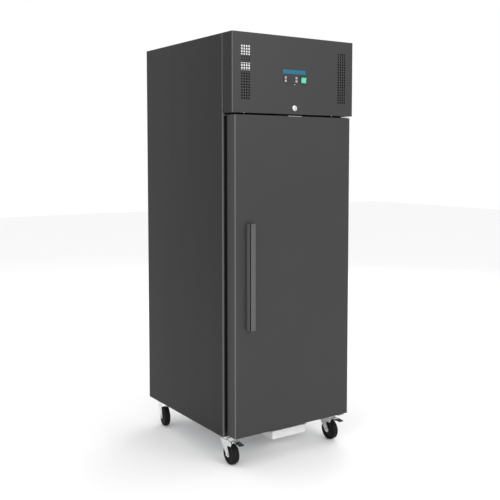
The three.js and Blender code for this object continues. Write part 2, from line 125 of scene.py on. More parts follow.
makeStudio()


# materials
class Wire:  # one output of a node, so that shader maths reads as plain expressions
    def __init__(self, graph, socket):
        self.graph = graph
        self.socket = socket

    def maths(self, operation, first, second):
        return self.graph.node("ShaderNodeMath", {"operation": operation}, {0: first, 1: second})

    def __add__(self, other):
        return self.maths("ADD", self, other)

    __radd__ = __add__

    def __sub__(self, other):
        return self.maths("SUBTRACT", self, other)

    def __rsub__(self, other):
        return self.maths("SUBTRACT", other, self)

    def __mul__(self, other):
        return self.maths("MULTIPLY", self, other)

    __rmul__ = __mul__


class Graph:  # one material's nodes, ending in its Principled shader
    def __init__(self, name, **fixed):
        self.material = bpy.data.materials.new(name)
        self.material.use_nodes = True
        self.nodes = self.material.node_tree.nodes
        self.links = self.material.node_tree.links
        self.shader = self.nodes["Principled BSDF"]
        self.place = self.node("ShaderNodeTexCoord", output="Object")
        for socket, value in fixed.items():
            self.shader.inputs[socket.replace("_", " ")].default_value = value

    def node(self, kind, settings=None, inputs=None, output=0):
        made = self.nodes.new(kind)
        for name, value in (settings or {}).items():
            setattr(made, name, value)
        for name, value in (inputs or {}).items():
            self.feed(made.inputs[name], value)
        return Wire(self, made.outputs[output])

    def feed(self, socket, value):
        if isinstance(value, Wire):
            self.links.new(value.socket, socket)
        else:
            socket.default_value = value

    def give(self, **inputs):
        for name, value in inputs.items():
            self.feed(self.shader.inputs[name.replace("_", " ")], value)

    def noise(self, scale, detail=3, stretch=(1, 1, 1), roughness=0.5):
        at = self.node("ShaderNodeMapping", {}, {"Vector": self.place, "Scale": stretch})
        settings = {"Vector": at, "Scale": scale, "Detail": detail, "Roughness": roughness}
        return self.node("ShaderNodeTexNoise", {}, settings)

    def cells(self, scale, feature="F1", stretch=(1, 1, 1)):
        at = self.node("ShaderNodeMapping", {}, {"Vector": self.place, "Scale": stretch})
        return self.node("ShaderNodeTexVoronoi", {"feature": feature}, {"Vector": at, "Scale": scale})

    def spread(self, value, low, high, start=0.25, end=0.75, curve="LINEAR"):
        limits = {"Value": value, "From Min": start, "From Max": end, "To Min": low, "To Max": high}
        return self.node("ShaderNodeMapRange", {"interpolation_type": curve}, limits)

    def mix(self, factor, first, second):
        return self.node("ShaderNodeMix", {"data_type": "RGBA"}, {0: factor, 6: first, 7: second}, 2)

    def bump(self, height, strength, distance, under=None):
        inputs = {"Height": height, "Strength": strength, "Distance": distance}
        if under:
            inputs["Normal"] = under
        return self.node("ShaderNodeBump", {}, inputs)


def grey(level, tint=(1, 1, 1)):
    return (level * tint[0], level * tint[1], level * tint[2], 1)


# powder coat: fine orange peel, faint clouds, wipe marks and settled dust in the roughness
def powderCoat(name, level, roughness=0.42, wear=1.0, specular=0.23):
    graph = Graph(name, Specular_IOR_Level=specular)
    clouds = graph.noise(2.2, 4)
    wipes = graph.noise(9, 5, (1, 1, 0.12))
    specks = graph.spread(graph.noise(420, 2), 0, 1, 0.66, 0.8)
    base = graph.mix(graph.spread(clouds, 0, 1), grey(level * 0.965), grey(level * 1.035))
    worn = graph.mix(specks * (0.25 * wear), base, grey(level * 1.5))
    marks = graph.spread(wipes, -0.025 * wear, 0.035 * wear)
    peel = graph.noise(620, 2)
    waves = graph.noise(16, 1)
    fine = graph.bump(peel, 0.16, 0.00012)
    graph.give(Base_Color=worn, Roughness=marks + roughness,
               Normal=graph.bump(waves, 0.12, 0.0008, fine))
    return graph.material


# brushed or rolled sheet: long grain along one axis, blotchy roughness
def brushedSheet(name, colour, roughness, grain, spangle=0.0):
    graph = Graph(name, Metallic=1.0)
    lines = graph.noise(260, 3, grain)
    blotches = graph.noise(5, 4)
    dark = tuple(c * 0.86 for c in colour[:3]) + (1,)
    shade = graph.spread(lines, 0, 1, 0.3, 0.7)
    base = graph.mix(shade, dark, colour)
    if spangle:
        flakes = graph.cells(75)
        patch = graph.spread(graph.noise(34, 1), 0, 1, 0.4, 0.6)
        tone = graph.spread(flakes, 0, spangle, 0, 1)
        base = graph.mix(tone * patch, base, grey(0.42, (1, 1.01, 1.04)))
    rough = graph.spread(blotches, roughness - 0.06, roughness + 0.09)
    graph.give(Base_Color=base, Roughness=rough + shade * 0.05,
               Normal=graph.bump(lines, 0.12, 0.0001))
    return graph.material


# bright plating with water marks and small dull patches
def plating(name, colour, roughness, dull=0.3):
    graph = Graph(name, Metallic=1.0)
    blotches = graph.noise(55, 4)
    fine = graph.noise(900, 2)
    tarnish = graph.spread(blotches, 0, dull, 0.5, 0.75)
    greyed = tuple(c * 0.62 for c in colour[:3]) + (1,)
    graph.give(Base_Color=graph.mix(tarnish, colour, greyed),
               Roughness=graph.spread(blotches, roughness - 0.03, roughness + 0.14),
               Normal=graph.bump(fine, 0.08, 0.00008))
    return graph.material


# moulded plastic or rubber with a fine spark texture and rubbed, greyer patches
def moulded(name, colour, roughness, texture=0.2, scale=1300, rubbed=0.25, specular=0.5):
    graph = Graph(name, Specular_IOR_Level=specular)
    patches = graph.noise(28, 4)
    grain = graph.noise(scale, 2)
    lighter = tuple(min(1, c * 1.35 + 0.006) for c in colour[:3]) + (1,)
    mask = graph.spread(patches, 0, rubbed, 0.45, 0.75)
    graph.give(Base_Color=graph.mix(mask, colour, lighter),
               Roughness=graph.spread(patches, roughness - 0.06, roughness + 0.08),
               Normal=graph.bump(grain, texture, 0.0001))
    return graph.material


# a lit lens: bright in its middle, darker towards its moulded rim
def litLens(name, colour, glow, strength, centre, reach):
    graph = Graph(name, Roughness=0.18, Coat_Weight=0.6, Coat_Roughness=0.08)
    offset = graph.node("ShaderNodeVectorMath", {"operation": "SUBTRACT"}, {0: graph.place, 1: centre})
    distance = graph.node("ShaderNodeVectorMath", {"operation": "LENGTH"}, {0: offset}, 1)
    middle = graph.spread(distance, 1, 0, 0, reach, "SMOOTHSTEP")
    ribs = graph.node("ShaderNodeTexWave", {"bands_direction": "Z"}, {"Vector": graph.place, "Scale": 190})
    light = graph.mix(middle, tuple(c * 0.35 for c in glow[:3]) + (1,), glow)
    graph.give(Base_Color=colour, Emission_Color=light, Emission_Strength=strength,
               Normal=graph.bump(ribs, 0.2, 0.0002))
    return graph.material


zUp, xSide = (1, 1, 0.02), (0.02, 1, 1)  # grain directions
paint = {
    # the body's one paint in two copies: the sides' copy is darker as painted shade for faces turned from the key
    # light, the front's is the lit copy
    "side": powderCoat("sidePaintShadedCopy", 0.0095, specular=0.19),
    "front": powderCoat("frontPaintLitCopy", 0.0305),
    "handle": powderCoat("handlePaint", 0.074, 0.36, 1.6),
    "edge": powderCoat("edgeHighlightPaint", 0.1, 0.34, 2.4),  # painted highlight: a lighter copy of the body paint on folds, fillets, front edge strips and the handle's left wall, standing in for the light they catch
}
# near-black paint on the rear guard, cross rail and deck edge, kept this dark partly as painted shade for the
# machine compartment seen through the vents
guardPaintAndShade = powderCoat("guardPaintAndShade", 0.008, 0.55)
galvanised = brushedSheet("galvanisedSheet", grey(0.56, (0.97, 0.99, 1.02)), 0.42, (1, 1, 0.3), 0.7)
stainless = brushedSheet("stainlessSheet", grey(0.5), 0.32, zUp)
finMetal = brushedSheet("finAluminium", grey(0.62), 0.4, zUp)
shelfWire = plating("shelfWire", grey(0.62), 0.22)
zincPlate = plating("zincPlate", grey(0.78, (0.99, 1.0, 1.01)), 0.26)
zincBright = plating("zincBright", grey(0.74), 0.2, 0.2)
chromePlate = plating("chromePlate", grey(0.75), 0.1, 0.12)
copperPipe = plating("copperPipe", (0.66, 0.3, 0.17, 1), 0.3, 0.6)
blackPlastic = moulded("blackPlastic", grey(0.014), 0.42)
whitePlastic = moulded("whitePlastic", grey(0.8), 0.45, 0.1)
gasketRubber = moulded("gasketRubber", grey(0.004), 0.7, 0.1, 1300, 0.25, 0.15)
trayPlastic = moulded("trayPlastic", grey(0.68, (1, 1, 1.01)), 0.4, 0.1)
displayPlastic = moulded("displayPlastic", grey(0.02), 0.34, 0.12)
greyPlastic = moulded("greyPlastic", grey(0.36), 0.45, 0.15, 1500, 0.4)
markGrey = moulded("markGrey", grey(0.09), 0.5, 0.1)
unlitSegment = moulded("unlitSegment", grey(0.035), 0.4, 0.1)
smokedLens = moulded("smokedLens", grey(0.008), 0.12, 0.05, 600, 0.2, 0.6)
paleLens = moulded("paleLens", (0.62, 0.6, 0.52, 1), 0.2, 0.05)
badgeBlue = moulded("badgeBlue", (0.01, 0.11, 0.19, 1), 0.35, 0.05, 800, 0.15, 0.2)
hubPlastic = moulded("hubPlastic", grey(0.008), 0.55, 0.25, 900, 0.4, 0.2)
pedalPlastic = moulded("pedalPlastic", grey(0.016), 0.5, 0.3, 900, 0.7)
rockerLens = litLens("rockerLens", (0.03, 0.3, 0.16, 1), (0.1, 0.6, 0.36, 1), 0.62,
                     cabinet @ Vector((398, -86, 1655)), 0.024)
castorRubber = moulded("castorRubber", grey(0.004), 0.62, 0.35, 700, 0.4, 0.15)
blackEnamel = moulded("blackEnamel", grey(0.012), 0.28, 0.15, 500)
foam = moulded("cutFoam", (0.72, 0.62, 0.36, 1), 0.95, 0.8, 500, 0.5)
print("materials ready")


# modelling helpers
scene = bpy.context.scene


def fresh():
    return bmesh.new()


def place(bm, name, material, slot, body="cabinet", stands=(), smooth=40, at=cabinet):
    # finishes a bmesh as one piece that rides on a body
    mesh = bpy.data.meshes.new(name)
    bmesh.ops.transform(bm, matrix=at, verts=bm.verts)
    bmesh.ops.remove_doubles(bm, verts=bm.verts, dist=1e-6)
    bm.to_mesh(mesh)
    bm.free()
    mesh.shade_smooth()
    mesh.set_sharp_from_angle(angle=math.radians(smooth))
    piece = bpy.data.objects.new(name, mesh)
    scene.collection.objects.link(piece)
    for one in material if isinstance(material, (list, tuple)) else [material]:
        mesh.materials.append(one)
    piece.modifiers.new("evenShading", "WEIGHTED_NORMAL").keep_sharp = True
    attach(piece, body)
    if stands:
        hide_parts(*stands)
    return piece


def merged(node):  # a copy of a CAD node, its loose triangles joined back into flat faces
    bm = fresh()
    bm.from_mesh(frame["nodes"][node].data)
    bmesh.ops.remove_doubles(bm, verts=bm.verts, dist=2e-6)
    bmesh.ops.dissolve_limit(bm, angle_limit=math.radians(0.6), verts=bm.verts, edges=bm.edges)
    return bm


def soften(bm, width, segments=2, angle=30):
    sharp = [e for e in bm.edges if e.is_manifold and e.calc_face_angle() > math.radians(angle)]
    bmesh.ops.bevel(bm, geom=sharp, offset=width, offset_type="OFFSET", segments=segments,
                    profile=0.5, affect="EDGES", material=-1, clamp_overlap=True)
    return bm


def nodeBody(node):
    return next(b for b, nodes in frame["record"]["behaviour"]["bodies"].items() if node in nodes)


def nodeSlot(node):
    return next(s["material_slot"] for s in frame["record"]["subparts"] if s["node"] == node)


def refine(node, material, width, segments=2, angle=30, smooth=40):
    bm = soften(merged(node), width, segments, angle)
    # the handle's left wall takes the edge paint: a painted highlight for its side-lit face
    if node == "door_handle":
        for face in bm.faces:
            face.material_index = int(face.normal.x < -0.9)
        material = [material, paint["edge"]]
    # painted light on the body paint: folds, fillets and the panels' front edge strips take the edge paint as a
    # painted highlight, and the fascia's side returns take the side paint as painted shade
    if material in (paint["side"], paint["front"]):
        for face in bm.faces:
            frontEdgeHighlight = "panel" in node and face.normal.y < -0.9
            if frontEdgeHighlight or sorted(abs(c) for c in face.normal)[1] > 0.28:
                face.material_index = 1
            elif node == "front_fascia" and abs(face.normal.x) > 0.9:
                face.material_index = 2
        material = [material, paint["edge"], paint["side"]]
    slot = "cabinet_paint" if material == guardPaintAndShade else nodeSlot(node)
    here = Matrix.Identity(4)
    return place(bm, node + "_finished", material, slot, nodeBody(node), [node], smooth, here)


def box(bm, low, high, bevel=0.0, segments=2):
    made = bmesh.ops.create_cube(bm, size=1)["verts"]
    size = [h - l for l, h in zip(low, high)]
    middle = [(l + h) / 2 for l, h in zip(low, high)]
    bmesh.ops.scale(bm, vec=size, verts=made)
    bmesh.ops.translate(bm, vec=middle, verts=made)
    if bevel:
        edges = list({e for v in made for e in v.link_edges})
        bmesh.ops.bevel(bm, geom=edges, offset=bevel, segments=segments, profile=0.5,
                        affect="EDGES", material=-1)
    return bm


turns = {
    "x": Matrix.Rotation(math.radians(90), 4, "Y"),
    "y": Matrix.Rotation(math.radians(-90), 4, "X"),
    "z": Matrix.Identity(4),
}


def rod(bm, start, end, radius, sides=16, tip=None):
    start, end = Vector(start), Vector(end)
    along = end - start
    turn = along.to_track_quat("Z", "Y").to_matrix().to_4x4()
    middle = Matrix.Translation((start + end) / 2) @ turn
    bmesh.ops.create_cone(bm, cap_ends=True, segments=sides, radius1=radius,
                          radius2=radius if tip is None else tip, depth=along.length, matrix=middle)
    return bm


def vertsOf(geom):
    return [g for g in geom if isinstance(g, bmesh.types.BMVert)]


def facesOf(verts):
    return list({f for v in verts for f in v.link_faces})


def settle(bm, island, at):  # puts a loose piece of mesh in its place, facing outwards
    bmesh.ops.transform(bm, matrix=at, verts=island)
    bmesh.ops.recalc_face_normals(bm, faces=facesOf(island))


def lathe(bm, profile, centre, axis="z", sides=32):
    # profile points are (radius, distance along the axis); ends on the axis are merged to a pole
    verts = [bm.verts.new((r, 0, along)) for r, along in profile]
    edges = [bm.edges.new(pair) for pair in zip(verts, verts[1:])]
    made = bmesh.ops.spin(bm, geom=verts + edges, cent=(0, 0, 0), axis=(0, 0, 1), dvec=(0, 0, 0),
                          angle=2 * math.pi, steps=sides, use_merge=True)
    island = grow({v for e in edges for v in e.verts} | set(vertsOf(made["geom_last"])))
    bmesh.ops.remove_doubles(bm, verts=island, dist=1e-6)
    settle(bm, [v for v in island if v.is_valid], Matrix.Translation(centre) @ turns[axis])


def grow(seeds):
    found, waiting = set(seeds), list(seeds)
    while waiting:
        for edge in waiting.pop().link_edges:
            for vert in edge.verts:
                if vert not in found:
                    found.add(vert)
                    waiting.append(vert)
    return list(found)


def bend(bm, reach, radius, angle, at, sides=12, steps=8):
    # a capped length of bent bar, turned about z from the x axis and then put in its place
    stand = Matrix.Translation((reach, 0, 0)) @ turns["y"]
    made = bmesh.ops.create_circle(bm, cap_ends=True, segments=sides, radius=radius, matrix=stand)["verts"]
    edges = list({e for v in made for e in v.link_edges})
    bmesh.ops.spin(bm, geom=made + edges + facesOf(made), cent=(0, 0, 0), axis=(0, 0, 1), dvec=(0, 0, 0),
                   angle=math.radians(angle), steps=steps)
    settle(bm, grow(made), at)


def outwards(axis):
    return Vector([(1 if axis[0] == "+" else -1) if axis[1] == c else 0 for c in "xyz"])


def hexBolt(bm, centre, axis, across=10, height=5, washer=8):
    # a washer and a chamfered hexagon head, standing out along an axis such as "+z" or "-y"
    out, centre = outwards(axis), Vector(centre)
    rod(bm, centre, centre + out * 1.2, washer, 24)
    rod(bm, centre + out * 0.3, centre + out * (height - 0.8), across / 1.73, 6)
    rod(bm, centre + out * (height - 1), centre + out * height, across / 1.7, 6, tip=across / 2.05)


def panHead(bm, centre, axis, radius=4, height=2.2):
    # a domed screw head with a raised edge round its cross recess
    out, centre = outwards(axis), Vector(centre)
    profile = [(0, 0.8), (0.3, 0.8), (0.34, 1), (0.55, 0.96), (0.82, 0.66), (1, 0.2), (1, -0.1), (0, -0.1)]
    sign = 1 if axis[0] == "+" else -1
    lathe(bm, [(r * radius, a * height * sign) for r, a in profile], centre, axis[1], 18)
    side = Vector((0, 0, 1)) if axis[1] != "z" else Vector((1, 0, 0))
    for arm in (side, out.cross(side)):
        middle = centre + out * height * 0.86
        rod(bm, middle - arm * radius * 0.45, middle + arm * radius * 0.45, radius * 0.09, 4)


def screws(name, spots, axis, radius, height, body="cabinet", slot="zinc_plate", material=None):
    bm = fresh()
    for spot in spots:
        panHead(bm, spot, axis, radius, height)
    place(bm, name, material or zincBright, slot, body)


def rivet(bm, centre, axis, radius=3.2, height=1.4):
    sign = 1 if axis[0] == "+" else -1
    profile = [(0, 1), (0.3, 1), (0.36, 0.8), (0.6, 0.86), (0.88, 0.5), (1, 0.12), (1, -0.1), (0, -0.1)]
    lathe(bm, [(r * radius, a * height * sign) for r, a in profile], centre, axis[1], 14)


def slab(bm, outline, axis, low, high, bevel=0.0, segments=2):
    # a flat outline of a few points, pushed along an axis from low to high
    spots = {"x": lambda u, v: (low, u, v), "y": lambda u, v: (u, low, v), "z": lambda u, v: (u, v, low)}
    verts = [bm.verts.new(spots[axis](u, v)) for u, v in outline]
    made = bmesh.ops.extrude_face_region(bm, geom=[bm.faces.new(verts)])["geom"]
    moved = vertsOf(made)
    bmesh.ops.translate(bm, vec=[high - low if axis == c else 0 for c in "xyz"], verts=moved)
    faces = facesOf(verts + moved)
    bmesh.ops.recalc_face_normals(bm, faces=faces)
    if bevel:
        edges = list({e for f in faces for e in f.edges})
        bmesh.ops.bevel(bm, geom=edges, offset=bevel, segments=segments, profile=0.5,
                        affect="EDGES", material=-1, clamp_overlap=True)
    return bm


def ring(bm, low, high, width, bevel=0.0, segments=2):
    # a rectangular ring in the x-z plane; width is the ring's own
    (x0, y0, z0), (x1, y1, z1) = low, high
    for a, b in (((x0, z0), (x1, z0)), ((x1, z0), (x1, z1)), ((x1, z1), (x0, z1)), ((x0, z1), (x0, z0))):
        across = 1 if a[1] == b[1] else 0
        inner = []
        for x, z in (b, a):
            inner.append((x + (width if x == x0 else -width), z + (width if z == z0 else -width)))
        slab(bm, [a, b, *inner], "y", y0, y1)
    bmesh.ops.remove_doubles(bm, verts=bm.verts, dist=1e-4)
    inside = [f for f in bm.faces if all(not e.is_manifold for e in f.edges if len(e.link_faces) > 2)
              and any(len(e.link_faces) > 2 for e in f.edges)
              and abs(f.normal.y) < 0.1 and abs(f.normal.x) > 0.1 and abs(f.normal.z) > 0.1]
    bmesh.ops.delete(bm, geom=inside, context="FACES_ONLY")
    if bevel:
        soften(bm, bevel, segments, 60)
    return bm


def pipe(name, points, radius, material, slot, steps=8, sides=3):
    # a bent pipe in the cabinet: a curve with a round section, made a mesh and then put in its place
    curve = bpy.data.curves.new(name, "CURVE")
    curve.dimensions = "3D"
    curve.bevel_depth = radius
    curve.bevel_resolution = sides
    curve.use_fill_caps = True
    curve.resolution_u = steps
    line = curve.splines.new("NURBS")
    line.points.add(len(points) - 1)
    for spot, point in zip(line.points, points):
        spot.co = (*point, 1)
    line.order_u = 3
    line.use_endpoint_u = True
    drawn = bpy.data.objects.new(name, curve)
    mesh = bpy.data.meshes.new_from_object(drawn)
    bpy.data.objects.remove(drawn)
    bm = fresh()
    bm.from_mesh(mesh)
    place(bm, name, material, slot)


def jointPlace(name):
    return Vector(next(j for j in frame["joints"] if j["name"] == name)["pos_m"])


# cabinet panels: folded sheet with softened folds
panelSettings = {
    # node: (material, softened edge, segments)
    "left_side_panel": (paint["side"], 0.4, 2),
    "right_side_panel": (paint["side"], 0.4, 2),
    "door_frame": (paint["side"], 0.3, 2),
    "front_fascia": (paint["front"], 0.45, 2),
    "door_outer_pan": (paint["front"], 0.7, 3),
    "door_handle": (paint["handle"], 0.6, 3),
    "back_panel": (galvanised, 0.4, 2),
    "base_panel": (galvanised, 0.4, 2),
    "machine_deck": (galvanised, 0.4, 2),
    "rear_guard": (guardPaintAndShade, 0.4, 2),
    "cross_rail": (guardPaintAndShade, 0.5, 2),
    "fascia_hinge_rail": (galvanised, 0.4, 2),
    "inner_liner": (stainless, 0.4, 2),
    "door_inner_skin": (stainless, 0.4, 2),
    "left_racking": (stainless, 0.5, 2),
    "right_racking": (stainless, 0.5, 2),
    "upper_hinge_bracket": (zincPlate, 0.5, 2),
    "lower_hinge_bracket": (zincPlate, 0.5, 2),
    "tray_rail_left": (zincPlate, 0.3, 2),
    "tray_rail_right": (zincPlate, 0.3, 2),
    "drip_tray": (trayPlastic, 0.8, 3),
    "condenser_fan_cowl": (blackEnamel, 0.5, 2),
    "evaporator_cover": (whitePlastic, 0.5, 2),
    "switch_bezel": (blackPlastic, 0.6, 3),
}


def makePanels():
    for node, (material, edge, segments) in panelSettings.items():
        refine(node, material, edge * mm, segments)
    for node in ("wall_insulation", "door_insulation"):
        frame["nodes"][node].data.materials.clear()
        frame["nodes"][node].data.materials.append(foam)


makePanels()
print("panels made")

# controls on the fascia
controlSettings = {
    "face": -82.3,  # the fascia's front
    "controller": (322, 1653.5),
    "display": (44, 24),
    "buttonStep": (31, 7.5),
    "switch": (396, 1654),
    "lock": (345, 1522),
    "badge": (276, 408, 1679, 1698),
    # the bars of one digit: (x, z, width, height) from its middle
    "segments": ((0, 6.2, 5, 1.1), (0, 0, 5, 1.1), (0, -6.2, 5, 1.1), (-3.1, 3.1, 1.1, 4.8),
                 (3.1, 3.1, 1.1, 4.8), (-3.1, -3.1, 1.1, 4.8), (3.1, -3.1, 1.1, 4.8)),
    "lampOffset": (23, -21.5),
}


def makeControls():
    face = controlSettings["face"]
    x, z = controlSettings["controller"]
    refine("digital_controller", displayPlastic, 0.0009, 3)
    wide, tall = controlSettings["display"]
    low, high = (x - wide / 2, face - 3.7, z - tall / 2), (x + wide / 2, face - 3.1, z + tall / 2)
    bm = box(fresh(), low, high, 0.28)
    place(bm, "display_window", smokedLens, "black_plastic", "fascia")

    bm = fresh()  # unlit segments of two and a half digits
    front = face - 3.82
    for digit in (-11, 0, 11):
        for dx, dz, w, h in controlSettings["segments"]:
            cx, cz = x + digit, z + dz
            box(bm, (cx + dx - w / 2, front, cz - h / 2), (cx + dx + w / 2, front + 0.2, cz + h / 2))
    place(bm, "display_segments", unlitSegment, "grey_plastic", "fascia")

    stepX, stepZ = controlSettings["buttonStep"]
    for side, dx in (("left", -stepX), ("right", stepX)):
        for level, dz in (("upper", stepZ), ("lower", -stepZ)):
            node = "controller_button_" + side + "_" + level
            refine(node, greyPlastic, 0.0011, 4)
            bm = fresh()  # a raised mark: an arrow or a bar
            cx, cz = x + dx, z + dz
            if side == "left":
                up = 1 if level == "upper" else -1
                outline = [(cx - 2.4, cz - 1.4 * up), (cx + 2.4, cz - 1.4 * up), (cx, cz + 1.9 * up)]
                slab(bm, outline, "y", face - 4.35, face - 3.9, 0.15, 1)
            elif level == "upper":
                box(bm, (cx - 2.3, face - 4.35, cz - 0.6), (cx + 2.3, face - 3.9, cz + 0.6), 0.15, 1)
            else:
                box(bm, (cx - 0.6, face - 4.35, cz - 2.3), (cx + 0.6, face - 3.9, cz + 2.3), 0.15, 1)
            place(bm, node + "_mark", markGrey, "grey_plastic", node)

    bm = fresh()
    dx, dz = controlSettings["lampOffset"]
    lamp = (x + dx, face, z + dz)
    lathe(bm, [(0, -1.1), (1.0, -1.0), (1.5, -0.5), (1.55, 0.1), (0, 0.1)], lamp, "y", 20)
    lathe(bm, [(1.6, 0.1), (1.6, -0.9), (2.2, -0.9), (2.4, -0.4), (2.4, 0.1), (1.6, 0.1)], lamp, "y", 20)
    place(bm, "indicator_lamp", paleLens, "white_plastic", "fascia")

    refine("power_rocker", rockerLens, 0.0011, 4, 20)
    sx, sz = controlSettings["switch"]
    bm = fresh()
    ring(bm, (sx - 16.6, face - 3.5, sz - 16.2), (sx + 16.6, face - 2.9, sz + 16.2), 1.2, 0.2)
    place(bm, "switch_inner_rim", blackPlastic, "black_plastic", "fascia")

    x0, x1, z0, z1 = controlSettings["badge"]
    bm = box(fresh(), (x0, face - 0.7, z0), (x1, face, z1), 0.0)
    corners = [e for e in bm.edges if abs(e.verts[0].co.x - e.verts[1].co.x) < 0.01
               and abs(e.verts[0].co.z - e.verts[1].co.z) < 0.01]
    bmesh.ops.bevel(bm, geom=corners, offset=3, segments=6, profile=0.5, affect="EDGES", material=-1)
    soften(bm, 0.25, 2, 60)
    place(bm, "blank_badge", badgeBlue, "white_plastic", "fascia")


def makeLock():
    face = controlSettings["face"]
    x, z = controlSettings["lock"]
    bm = fresh()
    profile = [(6.4, 30.8), (6.4, -2.4), (6.9, -2.9), (7.6, -3.1), (10.6, -3.1), (12.2, -2.6), (12.9, -1.5),
               (13, 0), (9.4, 0), (9.4, 30.8), (6.4, 30.8)]
    lathe(bm, profile, (x, face, z), "y", 48)
    for turn in range(10):  # coarse thread where the nut sits
        start = 8 + turn * 2
        thread = [(9.2, start), (9.75, start + 0.7), (9.2, start + 1.4), (9.2, start)]
        lathe(bm, thread, (x, face, z), "y", 24)
    rod(bm, (x, face + 5, z), (x, face + 9, z), 13.5, 6)
    place(bm, "lock_barrel_finished", chromePlate, "chrome_plate", "fascia", ["lock_barrel"])

    bm = fresh()
    lathe(bm, [(0, -1.5), (0.9, -1.5), (1.2, -1.9), (5.2, -1.9), (5.9, -1.4), (6, -0.8), (6, 34), (0, 34)],
          (x, face, z), "y", 40)
    outline = [(x - 5, z - 4.5), (x + 43, z - 4.5), (x + 46, z - 1.5), (x + 46, z + 1.5), (x + 43, z + 4.5),
               (x - 5, z + 4.5)]
    slab(bm, outline, "y", -50, -47, 0.4)
    rod(bm, (x, -47, z), (x, -44.5, z), 4.6, 6)
    place(bm, "lock_cam_finished", chromePlate, "chrome_plate", "lock_cam", ["lock_cam"])
    bm = box(fresh(), (x - 0.65, face - 2.0, z - 3.9), (x + 0.65, face - 1.6, z + 3.9), 0.1, 1)
    box(bm, (x - 1.5, face - 2.0, z - 1.1), (x + 0.2, face - 1.6, z + 1.1), 0.1, 1)
    place(bm, "lock_keyway", blackPlastic, "black_plastic", "lock_cam")


makeControls()
makeLock()
print("controls made")


# castors: drawn round the swivel axis, the wheel towards the front
castorSettings = {
    # name: (turn in degrees, braked)
    "front_left": (0, True),
    "front_right": (0, True),
    "rear_left": (-12, False),
    "rear_right": (0, False),
}
forkSettings = {
    "trail": 38,
    "axle": -89.7,
    "lug": 13,
    # half of the bent sheet's outline in x and z, from the left leg's end to the crown's middle
    "sheet": [(20, -104.7), (20, -59.7), (20, -30), (20, -22), (19.2, -18.8), (17.2, -16.6), (14, -15.7),
              (8, -15.6), (0, -15.6)],
    # the edge between a braked leg and its lobe, in y and z
    "notch": [(-80, -48), (-52, -47), (-40, -47.5), (-36, -50), (-34, -54), (-36, -62), (-51, -92)],
}
castorShapes = {  # outlines, and profiles turned about the swivel axis, the kingpin and the axle
    "plate": [(-38, -50), (38, -50), (44, -44), (44, 44), (38, 50), (-38, 50), (-44, 44), (-44, -44)],
    "upperDish": [(0, -3), (30.5, -3), (30.5, -4.2), (29.2, -5.2), (28, -8.4), (27, -9.4), (22, -9.8),
                  (0, -9.8)],
    "dustRing": [(0, -9.8), (21.5, -9.8), (23, -10.4), (23, -11.6), (20, -12.6), (18, -13.4), (0, -13.4)],
    "lowerDish": [(0, -13.9), (17, -13.9), (24, -13.8), (31, -13.9), (32, -14.8), (32, -16), (31, -16.9),
                  (19, -17.6), (0, -17.6)],
    "kingpin": [(0, -23), (5, -22.8), (7.5, -21.4), (8.4, -19), (8.4, -17.4), (0, -17.4)],
    "halfWheel": [(5.6, 17), (11.5, 17), (12.6, 16.2), (13.6, 13.4), (15, 12.6), (30.5, 11.2), (32.4, 12),
                  (33.6, 14.8), (36, 16), (41, 16.6), (45, 15.8), (48.3, 13.4), (49.7, 9.8), (50, 6),
                  (50, 0)],
    "hub": 33.4,
    "pedal": [(-88, -22.4), (-104, -21), (-124, -23.2), (-129, -25.4), (-128.6, -27.8), (-114, -26.6),
              (-88, -26)],
    "leverSide": [(-44, -26.6), (-70, -22.4), (-72, -30), (-50, -35), (-44, -33)],
    "leverTop": [(-46, -26.2), (-84, -20.2), (-94, -21.4), (-94, -23.8), (-84, -23), (-46, -28.6)],
}


def divide(bm, y, z, normal, clear):
    geom = list(bm.verts) + list(bm.edges) + list(bm.faces)
    bmesh.ops.bisect_plane(bm, geom=geom, dist=1e-5, plane_co=(0, y, z), plane_no=normal, clear_outer=clear)


def trim(bm, start, end, keep):
    # cuts the mesh by a plane through two (y, z) points and keeps the side of a third
    (y0, z0), (y1, z1) = start, end
    normal = Vector((0, z1 - z0, y0 - y1)).normalized()
    inside = Vector((0, keep[0] - y0, keep[1] - z0))
    if normal.dot(inside) > 0:
        normal.negate()
    divide(bm, y0, z0, normal, True)


def forkSheet(braked):
    # one pressed sheet: crown in the middle, a leg on each side
    size = forkSettings
    axle, trail, lug, half = size["axle"], -size["trail"], size["lug"], size["sheet"]
    bm = fresh()
    rail = half + [(-x, z) for x, z in reversed(half[:-1])]
    verts = [bm.verts.new((x, 34, z)) for x, z in rail]
    edges = [bm.edges.new(pair) for pair in zip(verts, verts[1:])]
    made = bmesh.ops.extrude_edge_only(bm, edges=edges)["geom"]
    bmesh.ops.translate(bm, vec=(0, -100, 0), verts=vertsOf(made))
    middle = (trail * 0.5, -45)
    lobe = [(-26, -14)]
    if braked:
        lobe += [(-53 + 13 * math.cos(a), -34 + 13 * math.sin(a)) for a in
                 [math.radians(t) for t in range(75, 200, 20)]]
    corners = [(26, -14), *lobe]
    corners += [(trail + lug * math.cos(a), axle + lug * math.sin(a))
                for a in [math.radians(t) for t in range(188, 326, 15)]]
    corners += [(26, -34), (28, -24)]
    for start, end in zip(corners, corners[1:] + corners[:1]):
        trim(bm, start, end, middle)
    if braked:  # the notch between the leg and the lobe, with a rounded corner
        notch = size["notch"]
        for (y0, z0), (y1, z1) in zip(notch, notch[1:]):
            divide(bm, y0, z0, Vector((0, z1 - z0, y0 - y1)).normalized(), False)
        away = []
        for face in bm.faces:
            spot = face.calc_center_median()
            sides = [(y1 - y0) * (spot.z - z0) - (z1 - z0) * (spot.y - y0) < 0
                     for (y0, z0), (y1, z1) in zip(notch, notch[1:])]
            if all(sides):
                away.append(face)
        bmesh.ops.delete(bm, geom=away, context="FACES")
        bmesh.ops.dissolve_limit(bm, angle_limit=math.radians(0.5), verts=bm.verts, edges=bm.edges)
    bmesh.ops.recalc_face_normals(bm, faces=bm.faces)
    return bm


